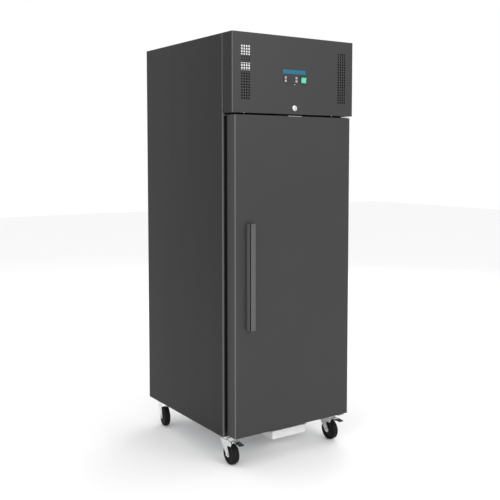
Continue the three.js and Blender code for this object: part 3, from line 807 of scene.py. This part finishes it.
def makeCastor(name, turn, braked):
    size = forkSettings
    stem = jointPlace(name + "_castor_swivel")
    stem.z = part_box(name + "_castor_plate")[1].z
    at = Matrix.Translation(stem) @ Matrix.Scale(mm, 4)
    turned = Matrix.Translation(stem) @ Matrix.Rotation(math.radians(turn), 4, "Z") @ Matrix.Scale(mm, 4)
    swivel, wheel = name + "_swivel", name + "_wheel"
    axle, trail = size["axle"], -size["trail"]

    bm = fresh()  # top plate with four bolts, and the upper dish of the race
    slab(bm, castorShapes["plate"], "z", -3, 0, 0.5)
    for x in (-33, 33):
        for y in (-39, 39):
            hexBolt(bm, (x, y, -3), "-z", 10, 6.4, 8)
    lathe(bm, castorShapes["upperDish"], (0, 0, 0), "z", 48)
    place(bm, name + "_castor_plate_finished", zincPlate, "zinc_plate",
          stands=[name + "_castor_plate"], at=at)
    bm = fresh()  # dust ring between the dishes
    lathe(bm, castorShapes["dustRing"], (0, 0, 0), "z", 40)
    place(bm, name + "_castor_seal", blackPlastic, "black_plastic", at=at)

    bm = forkSheet(braked)
    fork = place(bm, name + "_castor_fork_finished", zincPlate, "zinc_plate", swivel,
                 [name + "_castor_fork"], at=turned)
    wall = fork.modifiers.new("sheet", "SOLIDIFY")
    wall.thickness = 3 * mm
    wall.offset = 0
    wall.use_even_offset = True
    edge = fork.modifiers.new("edge", "BEVEL")
    edge.width = 0.5 * mm
    edge.segments = 2
    edge.limit_method = "ANGLE"
    edge.angle_limit = math.radians(50)
    fork.modifiers.move(0, 2)

    bm = fresh()  # crown dish, kingpin, axle bolt and nut, rivets
    lathe(bm, castorShapes["lowerDish"], (0, 0, 0), "z", 48)
    lathe(bm, castorShapes["kingpin"], (0, 0, 0), "z", 28)
    rod(bm, (-26.4, trail, axle), (26.4, trail, axle), 5, 24)
    for side in (-1, 1):
        rod(bm, (21.4 * side, trail, axle), (22.8 * side, trail, axle), 10.5, 28)
        rod(bm, (22.4 * side, trail, axle), (27 * side, trail, axle), 8.2, 6)
        rod(bm, (26.8 * side, trail, axle), (27.8 * side, trail, axle), 8.3, 6, tip=7)
        if braked:
            for y, z in ((-51, -30), (-33, -23.5)):
                sign = "+x" if side > 0 else "-x"
                rivet(bm, (21.4 * side, y, z), sign, 5.2 if y == -51 else 3.6, 2.6)
    for side in (-1, 1):  # spacers between the hub and the legs
        rod(bm, (17.1 * side, trail, axle), (18.6 * side, trail, axle), 9, 24)
    place(bm, name + "_castor_fixings", zincBright, "zinc_plate", swivel, at=turned)

    bm = fresh()
    half = castorShapes["halfWheel"]
    whole = half + [(r, -x) for r, x in reversed(half[:-1])] + [half[0]]
    lathe(bm, whole, (0, trail, axle), "x", 80)
    hub = Vector((0, trail, axle))
    for face in bm.faces:
        middle = face.calc_center_median() - hub
        middle.x = 0
        face.material_index = 0 if middle.length > castorShapes["hub"] else 1
    for spoke in range(8):
        made = bmesh.ops.create_cube(bm, size=1)["verts"]
        bmesh.ops.scale(bm, vec=(26.6, 2.6, 20), verts=made)
        lean = Matrix.Translation(hub) @ Matrix.Rotation(math.radians(45 * spoke), 4, "X")
        bmesh.ops.transform(bm, matrix=lean @ Matrix.Translation((0, 0, 22.5)), verts=made)
        for face in facesOf(made):
            face.material_index = 1
    place(bm, name + "_castor_wheel_finished", [castorRubber, hubPlastic], "castor_rubber", wheel,
          [name + "_castor_wheel"], at=turned)

    if braked:
        brake = name + "_brake"
        bm = fresh()
        slab(bm, castorShapes["pedal"], "x", -13, 13, 1.1, 3)
        for y in (-124, -118, -112, -106, -100):
            lift = (y + 104) * 0.1
            box(bm, (-10.5, y - 1.1, -22.4 + lift), (10.5, y + 1.1, -20.0 + lift), 0.4)
        place(bm, name + "_brake_pedal_finished", pedalPlastic, "black_plastic", brake,
              [name + "_brake_pedal"], at=turned)
        bm = fresh()  # pressed lever under the tread
        for low, high in ((-16.6, -13.8), (13.8, 16.6)):
            slab(bm, castorShapes["leverSide"], "x", low, high, 0.5)
        slab(bm, castorShapes["leverTop"], "x", -16.4, 16.4, 0.5)
        for x in (-9, 0, 9):
            box(bm, (x - 1.6, -86, -23), (x + 1.6, -62, -19.6), 0.6)
        rod(bm, (-17.8, -51, -30), (17.8, -51, -30), 4, 20)
        place(bm, name + "_brake_lever", zincBright, "zinc_plate", brake, at=turned)


for castorName, (castorTurn, castorBraked) in castorSettings.items():
    makeCastor(castorName, castorTurn, castorBraked)
print("castors made")

# door seal and the fittings between the door and the fascia
doorSettings = {
    "seal": ((32, 30), (668, 1467)),
    "sealDepth": (-16.7, -0.3),
    "strike": (312, 390, -79, -36, 1485),
    "gapScrews": (73, 579),
    "fasciaBottom": 1494,
    "deckEdge": [(0.2, 1486.4), (1.6, 1486.4), (1.6, 1500), (0.2, 1500)],
    "pin": (668, -56),
    "bush": [(5.7, -16), (5.7, 0.9), (6.2, 1.2), (10, 1.2), (10.4, 0.8), (10.4, 0), (7.4, 0), (7.4, -16),
             (5.7, -16)],
    "leafScrews": [(x, -3.3, z) for x in (650, 667, 684) for z in (1478, 18)],
    "handleScrews": [(92, -84.8, z) for z in (524, 638, 752, 866, 980)],
    "plug": ((79.8, 104.6), (-108.6, -85.4), 4),
    "slotShadeStrip": ((79.7, -104.8, 513), (104.7, -102.6, 991)),
}


def makeSeal():
    (x0, z0), (x1, z1) = doorSettings["seal"]
    back, front = doorSettings["sealDepth"]
    bm = fresh()
    ring(bm, (x0, back, z0), (x1, back + 5, z1), 20, 0.8)  # foot pushed into its channel
    ring(bm, (x0 + 1, back + 4.4, z0 + 1), (x1 - 1, front - 5.6, z1 - 1), 6, 1.2, 3)
    ring(bm, (x0 + 12, back + 4.4, z0 + 12), (x1 - 12, front - 5.6, z1 - 12), 6, 1.2, 3)
    low, high = (x0 + 0.4, front - 6.4, z0 + 0.4), (x1 - 0.4, front - 0.1, z1 - 0.4)
    ring(bm, low, high, 18.6, 2.4, 4)  # magnet bulb
    place(bm, "door_gasket_finished", gasketRubber, "gasket_rubber", "door", ["door_gasket"], 50)


def makeStrike():
    x0, x1, y0, y1, z = doorSettings["strike"]
    lock = controlSettings["lock"][0]
    bm = box(fresh(), (x0, y0, z - 0.2), (lock - 7, y1, z + 1.6), 0.3)
    box(bm, (lock + 36, y0, z - 0.2), (x1, y1, z + 1.6), 0.3)
    box(bm, (lock - 8, y0, z - 0.2), (lock + 37, -57, z + 1.6), 0.3)
    box(bm, (lock - 8, -40, z - 0.2), (lock + 37, y1, z + 1.6), 0.3)
    place(bm, "lock_strike_plate", zincBright, "zinc_plate", "door")
    screws("strike_screws", [(x, -48, z + 1.6) for x in (x0 + 10, x1 - 5)], "+z", 3.4, 1.6, "door")
    bm = fresh()  # folded edge that closes the front of the machine deck
    slab(bm, doorSettings["deckEdge"], "x", 9, 691, 0.3)
    place(bm, "deck_front_edge", guardPaintAndShade, "cabinet_paint")
    spots = [(x, -66, doorSettings["fasciaBottom"]) for x in doorSettings["gapScrews"]]
    screws("fascia_bottom_screws", spots, "-z", 4.4, 3.6, "fascia")


def makeHingeDetails():
    x, y = doorSettings["pin"]
    for name, z, out in (("upper", 1490, 1), ("lower", 0, -1)):  # a washer and a nut on each pin
        bm = fresh()
        rod(bm, (x, y, z), (x, y, z + 1.2 * out), 9, 28)
        rod(bm, (x, y, z + 1.2 * out), (x, y, z + 2.6 * out), 6.4, 6)
        place(bm, name + "_hinge_pin_cap", zincBright, "zinc_plate")
    screws("hinge_leaf_screws", doorSettings["leafScrews"], "-y", 4.2, 2.4)
    for name, z, step in (("upper", 1485, 1), ("lower", 12, -1)):  # nylon bushes in the door's ends
        bm = fresh()
        lathe(bm, [(r, along * step) for r, along in doorSettings["bush"]], (x, y, z), "z", 28)
        place(bm, name + "_hinge_bush", whitePlastic, "white_plastic", "door")


def makeHandleDetails():
    screws("handle_screws", doorSettings["handleScrews"], "-y", 4, 2, "door", "handle_paint", paint["handle"])
    low, high = doorSettings["slotShadeStrip"]
    bm = box(fresh(), low, high, 0.3)  # black strip behind the slot: painted shade standing in for the dark hollow inside the handle
    place(bm, "handle_slot_shade_strip", gasketRubber, "black_plastic", "door")
    (x0, x1), (y0, y1), thick = doorSettings["plug"]
    for name, z, out in (("lower", 508, -1), ("upper", 996, 1)):  # end plugs inside the folded grip
        bm = box(fresh(), (x0, y0, min(z, z - thick * out)), (x1, y1, max(z, z - thick * out)), 0.8)
        place(bm, "handle_end_plug_" + name, blackPlastic, "black_plastic", "door")


makeSeal()
makeStrike()
makeHingeDetails()
makeHandleDetails()
print("door fittings made")


# cold store: shelves, racking screws, fan guard and coil
storeSettings = {
    "levels": {"lower": 300, "middle": 610, "upper": 920},
    "shelf": (68.1, 631.9, 64, 650),
    "frameRod": 3,
    "wire": 2,
    "wires": 24,
    "fan": (350, 1352),
}


def makeShelf(name, level):
    x0, x1, y0, y1 = storeSettings["shelf"]
    edge, wire = storeSettings["frameRod"], storeSettings["wire"]
    z = level + edge
    x0, x1, y0, y1 = x0 + edge, x1 - edge, y0 + edge, y1 - edge
    bm = fresh()
    turn = 9
    rod(bm, (x0 + turn, y0, z), (x1 - turn, y0, z), edge, 14)
    rod(bm, (x0 + turn, y1, z), (x1 - turn, y1, z), edge, 14)
    rod(bm, (x0, y0 + turn, z), (x0, y1 - turn, z), edge, 14)
    rod(bm, (x1, y0 + turn, z), (x1, y1 - turn, z), edge, 14)
    for cx, cy, start in ((x1 - turn, y1 - turn, 0), (x0 + turn, y1 - turn, 90), (x0 + turn, y0 + turn, 180),
                          (x1 - turn, y0 + turn, 270)):
        at = Matrix.Translation((cx, cy, z)) @ Matrix.Rotation(math.radians(start), 4, "Z")
        bend(bm, turn, edge - 0.02, 90, at, 14, 6)
    count = storeSettings["wires"]
    for index in range(1, count):
        x = x0 + (x1 - x0) * index / count
        rod(bm, (x, y0 + 0.5, z + edge + wire - 1.2), (x, y1 - 0.5, z + edge + wire - 1.2), wire, 10)
    for y in (y0 + 190, y1 - 190):
        rod(bm, (x0 + 0.5, y, z - 0.4), (x1 - 0.5, y, z - 0.4), 2.6, 12)
    node = "wire_shelf_" + name
    place(bm, node + "_finished", shelfWire, "shelf_wire", node, [node])


def makeStore():
    bm = fresh()
    for z in (150, 500, 820, 1170):
        for y in (90, 362, 630):
            panHead(bm, (64.1, y, z), "+x", 3.6, 1.8)
            panHead(bm, (635.9, y, z), "-x", 3.6, 1.8)
    place(bm, "racking_screws", zincBright, "stainless_steel")

    x, z = storeSettings["fan"]
    bm = fresh()  # wire guard in front of the evaporator fan
    for radius in range(10, 83, 8):
        circle = [(radius + 1.1 * math.cos(a), 1.1 * math.sin(a)) for a in
                  [math.radians(60 * k) for k in range(7)]]
        lathe(bm, circle, (x, 325.4, z), "y", 40)
    for turn in (45, 135, 225, 315):
        way = Vector((math.cos(math.radians(turn)), 0, math.sin(math.radians(turn))))
        start = Vector((x, 327, z))
        rod(bm, start + way * 8, start + way * 86, 1.4, 8)
        panHead(bm, start + way * 88 + Vector((0, 3, 0)), "-y", 3.4, 1.8)
    place(bm, "evaporator_fan_guard", shelfWire, "shelf_wire")

    spots = [(sx, 330, sz) for sx in (102, 225, 475, 598) for sz in (1282, 1416)]
    screws("evaporator_cover_screws", spots, "-y", 3.4, 1.8, slot="stainless_steel")

    bm = fresh()  # light tube lens on the cover's underside, and the thermostat probe's clip
    box(bm, (140, 346, 1262), (560, 372, 1270), 3, 4)
    place(bm, "store_light_lens", paleLens, "white_plastic")
    bm = fresh()
    box(bm, (104, 420, 1262.6), (128, 446, 1270), 1.5)
    rod(bm, (116, 410, 1265.5), (116, 460, 1265.5), 3, 16)
    place(bm, "air_probe_clip", blackPlastic, "black_plastic")

    bm = fresh()
    for index in range(76):
        fx = 126 + index * 6
        box(bm, (fx, 483, 1291), (fx + 0.7, 637, 1426))
    place(bm, "evaporator_fins", finMetal, "fin_aluminium", stands=["evaporator_coil"])
    bm = fresh()
    for tz in (1310, 1342, 1374, 1406):
        for ty in (512, 560, 608):
            rod(bm, (120, ty, tz), (581, ty, tz), 5, 12)
    box(bm, (120, 480, 1290), (122, 640, 1427.6), 0.3)
    box(bm, (578, 480, 1290), (580, 640, 1427.6), 0.3)
    place(bm, "evaporator_tubes", copperPipe, "copper_pipe")


for shelfName, shelfLevel in storeSettings["levels"].items():
    makeShelf(shelfName, shelfLevel)
makeStore()
print("cold store made")


# machine compartment
machineSettings = {
    "deck": 1486.3,
    "compressor": (250, 400),
    "shell": [(0, 12), (70, 12.5), (78, 16), (83, 26), (84, 40), (84, 95), (86.5, 97), (89, 98.5),
              (89, 103.5), (86.5, 105), (84, 107), (84, 140), (81, 158), (73, 175), (60, 188), (40, 197),
              (20, 201), (0, 202)],
    "base": [(-95, -86), (-86, -95), (86, -95), (95, -86), (95, 86), (86, 95), (-86, 95), (-95, 86)],
    "grommet": [(5, 0), (12, 0), (12, 8), (9.4, 9.4), (9.4, 13.4), (12, 14.6), (11.6, 18), (5, 18), (5, 0)],
    "feet": [(x, y) for x in (-78, 78) for y in (-78, 78)],
    "coil": (400, 670, 60, 110, 1486.3, 1782),
    "fanCentre": (535, 1634.15),
    "fanDepth": 153,
}


def fan(bm, centre, hub, radius, blades, width, depth, twist):
    # blades are strips turned more at the root than at the tip, on a round hub facing forwards
    profile = [(0, -0.62), (0.7, -0.6), (0.93, -0.48), (1, -0.3), (1, 0.5), (0, 0.5)]
    lathe(bm, [(r * hub, a * depth) for r, a in profile], centre, "y", 36)
    rows = 6
    for blade in range(blades):
        made = bmesh.ops.create_grid(bm, x_segments=5, y_segments=rows, size=0.5)["verts"]
        bmesh.ops.scale(bm, vec=(width, radius - hub + 3, 1), verts=made)
        for vert in made:
            part = vert.co.y / (radius - hub + 3) + 0.5
            spread = 0.72 + 0.5 * part
            vert.co.x *= spread
            vert.co.z = -0.10 * width * (vert.co.x / (width * 0.5 * spread)) ** 2
            lean = Matrix.Rotation(math.radians(twist * (1.25 - 0.5 * part)), 3, "Y")
            vert.co = lean @ vert.co
            vert.co.x += 0.18 * width * part * part
        bmesh.ops.translate(bm, vec=(0, (radius + hub - 3) / 2, 0), verts=made)
        bmesh.ops.solidify(bm, geom=facesOf(made), thickness=1.4)
        turn = Matrix.Rotation(math.radians(360 / blades * blade), 4, "Y")
        stand = Matrix.Rotation(math.radians(90), 4, "X")
        settle(bm, grow(made), Matrix.Translation(centre) @ turn @ stand)
    return bm


def makeCompressor():
    cx, cy = machineSettings["compressor"]
    deck = machineSettings["deck"]
    bm = fresh()
    lathe(bm, machineSettings["shell"], (cx, cy, deck), "z", 64)
    slab(bm, [(cx + x, cy + y) for x, y in machineSettings["base"]], "z", deck + 10, deck + 13, 0.5)
    box(bm, (cx + 62, cy - 36, deck + 60), (cx + 104, cy + 36, deck + 132), 3, 3)  # terminal box
    box(bm, (cx + 104, cy - 33, deck + 63), (cx + 107, cy + 33, deck + 129), 1.2)
    rod(bm, (cx - 30, cy + 62, deck + 168), (cx - 30, cy + 84, deck + 196), 7, 16)
    place(bm, "compressor_finished", blackEnamel, "black_enamel", stands=["compressor"])
    bm = fresh()
    for x, y in machineSettings["feet"]:
        lathe(bm, machineSettings["grommet"], (cx + x, cy + y, deck), "z", 24)
    place(bm, "compressor_grommets", gasketRubber, "gasket_rubber")
    bm = fresh()
    for x, y in machineSettings["feet"]:
        hexBolt(bm, (cx + x, cy + y, deck + 18), "+z", 10, 6, 8)
    panHead(bm, (cx + 107, cy, deck + 96), "+x", 4, 2)
    place(bm, "compressor_bolts", zincBright, "zinc_plate")


def makeCondenser():
    x0, x1, y0, y1, z0, z1 = machineSettings["coil"]
    bm = fresh()
    count = 90
    for index in range(count):
        x = x0 + 6 + (x1 - x0 - 12.5) * index / (count - 1)
        box(bm, (x, y0 + 1, z0 + 5), (x + 0.5, y1 - 1, z1 - 5))
    place(bm, "condenser_fins", finMetal, "fin_aluminium", stands=["condenser_coil"])
    bm = fresh()
    for x in (x0, x1 - 1.5):
        box(bm, (x, y0, z0), (x + 1.5, y1, z1), 0.3)
    for z in (z0 + 0.1, z1 - 1.6):
        box(bm, (x0 + 1, y0 + 0.2, z), (x1 - 1, y1 - 0.2, z + 1.5), 0.3)
    place(bm, "condenser_frame", galvanised, "galvanised_steel")
    bm = fresh()
    rows = 9
    for index in range(rows):
        z = z0 + 24 + index * 31
        for y in (72, 98):
            rod(bm, (x0 - 1, y, z), (x1 + 1, y, z), 4.6, 12)
    for index in range(rows - 1):  # return bends beyond the frame
        z = z0 + 24 + index * 31
        x, side = (x0 - 0.8, 1) if index % 2 else (x1 + 0.8, -1)
        for y in (72, 98):
            lay = Matrix.Rotation(math.radians(90 * side), 4, "Y") @ Matrix.Rotation(math.radians(90), 4, "X")
            bend(bm, 15.5, 4.5, 180, Matrix.Translation((x, y, z + 15.5)) @ lay)
    place(bm, "condenser_tubes", copperPipe, "copper_pipe")

    fx, fz = machineSettings["fanCentre"]
    bm = fresh()
    fan(bm, (fx, machineSettings["fanDepth"], fz), 29, 97, 5, 74, 16, 28)
    place(bm, "condenser_fan_blade_finished", fanMetal, "fin_aluminium", "condenser_fan_blade",
          ["condenser_fan_blade"])
    bm = fresh()
    for sx in (x0 + 8, x1 - 8):
        for sz in (z0 + 10, z1 - 10):
            hexBolt(bm, (sx, 150, sz), "+y", 8, 4, 6)
    for turn in (45, 135, 225, 315):
        a = math.radians(turn)
        x, z = fx + 33 * math.cos(a), fz + 33 * math.sin(a)
        rod(bm, (x, 231, z), (x, 235, z), 2.4, 10)
    place(bm, "cowl_bolts", zincBright, "zinc_plate")


def makePipes():
    cx, cy = machineSettings["compressor"]
    deck = machineSettings["deck"]
    frame["nodes"]["discharge_pipe"].data.materials.clear()
    frame["nodes"]["discharge_pipe"].data.materials.append(copperPipe)
    suction = [(cx - 70, cy + 42, deck + 60), (cx - 110, cy + 62, deck + 60), (cx - 128, cy + 120, deck + 60),
               (cx - 100, cy + 190, deck + 56), (300, 664, deck + 40), (350, 664, deck + 20),
               (350, 664, deck)]
    pipe("suction_pipe", suction, 6, gasketRubber, "gasket_rubber")
    liquid = [(399, 98, deck + 24), (380, 98, deck + 24), (350, 130, deck + 24), (344, 200, deck + 24),
              (344, 236, deck + 24)]
    pipe("liquid_pipe", liquid, 3.2, copperPipe, "copper_pipe")
    bm = fresh()
    lathe(bm, [(0, -46), (3.2, -46), (4.4, -44), (5, -40), (11, -30), (12, -24), (12, 24), (11, 30), (5, 40),
               (3.2, 46), (0, 46)], (344, 278, deck + 24), "y", 28)
    place(bm, "filter_drier", copperPipe, "copper_pipe")
    capillary = [(344, 322, deck + 24), (344, 350, deck + 24), (352, 380, deck + 20), (380, 400, deck + 14)]
    for index in range(26):
        a = math.radians(index * 40)
        capillary.append((400 + 22 * math.cos(a), 420 + 22 * math.sin(a), deck + 12 + index * 0.5))
    capillary += [(380, 470, deck + 26), (362, 560, deck + 24), (354, 650, deck + 14), (352, 656, deck)]
    pipe("capillary_tube", capillary, 1.3, copperPipe, "copper_pipe", steps=4, sides=2)
    bm = fresh()
    box(bm, (440, 560, deck), (600, 690, deck + 74), 3, 3)
    place(bm, "electrical_box", greyPaintedSteel, "galvanised_steel")
    bm = fresh()
    box(bm, (438, 558, deck + 70), (602, 692, deck + 78), 1.2)
    place(bm, "electrical_box_lid", greyPaintedSteel, "galvanised_steel")
    spots = [(x, y, deck + 78) for x in (450, 590) for y in (570, 680)]
    screws("electrical_box_screws", spots, "+z", 3.6, 1.8)
    conduit = [(600, 750, 1524), (600, 730, 1524), (602, 705, 1524), (601, 690, 1524)]
    pipe("gland_conduit", conduit, 4.4, blackPlastic, "black_plastic")
    conduit = [(440, 600, deck + 30), (400, 596, deck + 26), (390, 520, deck + 10), (390, 470, deck + 6),
               (386, 400, deck + 60), (358, 400, deck + 96)]
    pipe("compressor_conduit", conduit, 4.4, blackPlastic, "black_plastic")


fanMetal = brushedSheet("fanAluminium", grey(0.5), 0.42, xSide)
greyPaintedSteel = powderCoat("boxPaint", 0.32, 0.4, 0.6)
makeCompressor()
makeCondenser()
makePipes()
evaporatorFan = fresh()
fan(evaporatorFan, (350, 357, 1352), 19, 65, 5, 48, 14, 28)
place(evaporatorFan, "evaporator_fan_blade_finished", blackPlastic, "black_plastic", "evaporator_fan_blade",
      ["evaporator_fan_blade"])
print("machine made")


# back, base and drain
def makeBack():
    bm = fresh()
    for z in range(60, 1480, 118):
        for x in (12, 688):
            rivet(bm, (x, 752, z), "+y", 4, 1.8)
    for x in range(80, 640, 90):
        rivet(bm, (x, 752, 14), "+y", 4, 1.8)
        rivet(bm, (x, 752, 1476), "+y", 4, 1.8)
    place(bm, "back_rivets", zincBright, "zinc_plate")
    bm = fresh()
    for x in (14, 350, 686):
        for z in (1500, 1776):
            panHead(bm, (x, 752, z), "+y", 4.4, 2.4)
    for x in (60, 350, 640):
        panHead(bm, (x, 562, 1828), "+y", 4, 2.2)
        panHead(bm, (x, 4, 1826), "+y", 4, 2.2)
    place(bm, "machine_screws", zincBright, "zinc_plate")

    bm = fresh()
    lathe(bm, [(4.5, 0), (14, 0), (14, 1.4), (13.2, 2), (4.5, 2), (4.5, 0)], (600, 752.3, 1524), "y", 40)
    lathe(bm, [(4.5, 7.6), (11.6, 7.6), (12, 8.2), (12, 9.4), (10.4, 10.6), (8, 11.4), (5, 11.7), (4.5, 11.2),
               (4.5, 7.6)], (600, 752.3, 1524), "y", 40)
    rod(bm, (600, 754.3, 1524), (600, 759.9, 1524), 13, 6)
    place(bm, "cable_gland_finished", blackPlastic, "black_plastic", stands=["cable_gland"])


def makeDrain():
    bm = fresh()
    for a, b in (((350, 664, 1268), (350, 664, 1251)), ((350, 665, 1250), (350, 718, 1250)),
                 ((350, 719, 1249), (350, 719, -27)), ((350, 718, -28), (350, 300, -28))):
        rod(bm, a, b, 7, 20)
    for spot in ((350, 664, 1250), (350, 719, 1250), (350, 719, -28)):
        elbow = Matrix.Translation(spot)
        bmesh.ops.create_uvsphere(bm, u_segments=20, v_segments=12, radius=8.4, matrix=elbow)
    for a, b in (((350, 719, -8), (350, 719, -27)), ((350, 718, -28), (350, 699, -28)),
                 ((350, 308, -28), (350, 299.8, -28))):
        rod(bm, a, b, 8.3, 20)
    place(bm, "drain_pipe_finished", whitePlastic, "white_plastic", stands=["drain_pipe"])
    bm = fresh()
    for y in (400, 560):
        box(bm, (338, y, -14), (362, y + 12, -0.2), 1)
        lathe(bm, [(7.2, 0), (10, 0), (10, 12), (7.2, 12), (7.2, 0)], (350, y, -28), "y", 24)
        box(bm, (341, y, -22), (359, y + 12, -12), 1)
    place(bm, "drain_clips", zincPlate, "zinc_plate")
    spots = [(x, y, -2) for x in (296, 507) for y in (60, 190, 320)]
    screws("tray_rail_screws", spots, "-z", 3.4, 1.8)


makeBack()
makeDrain()
print("back and base made")
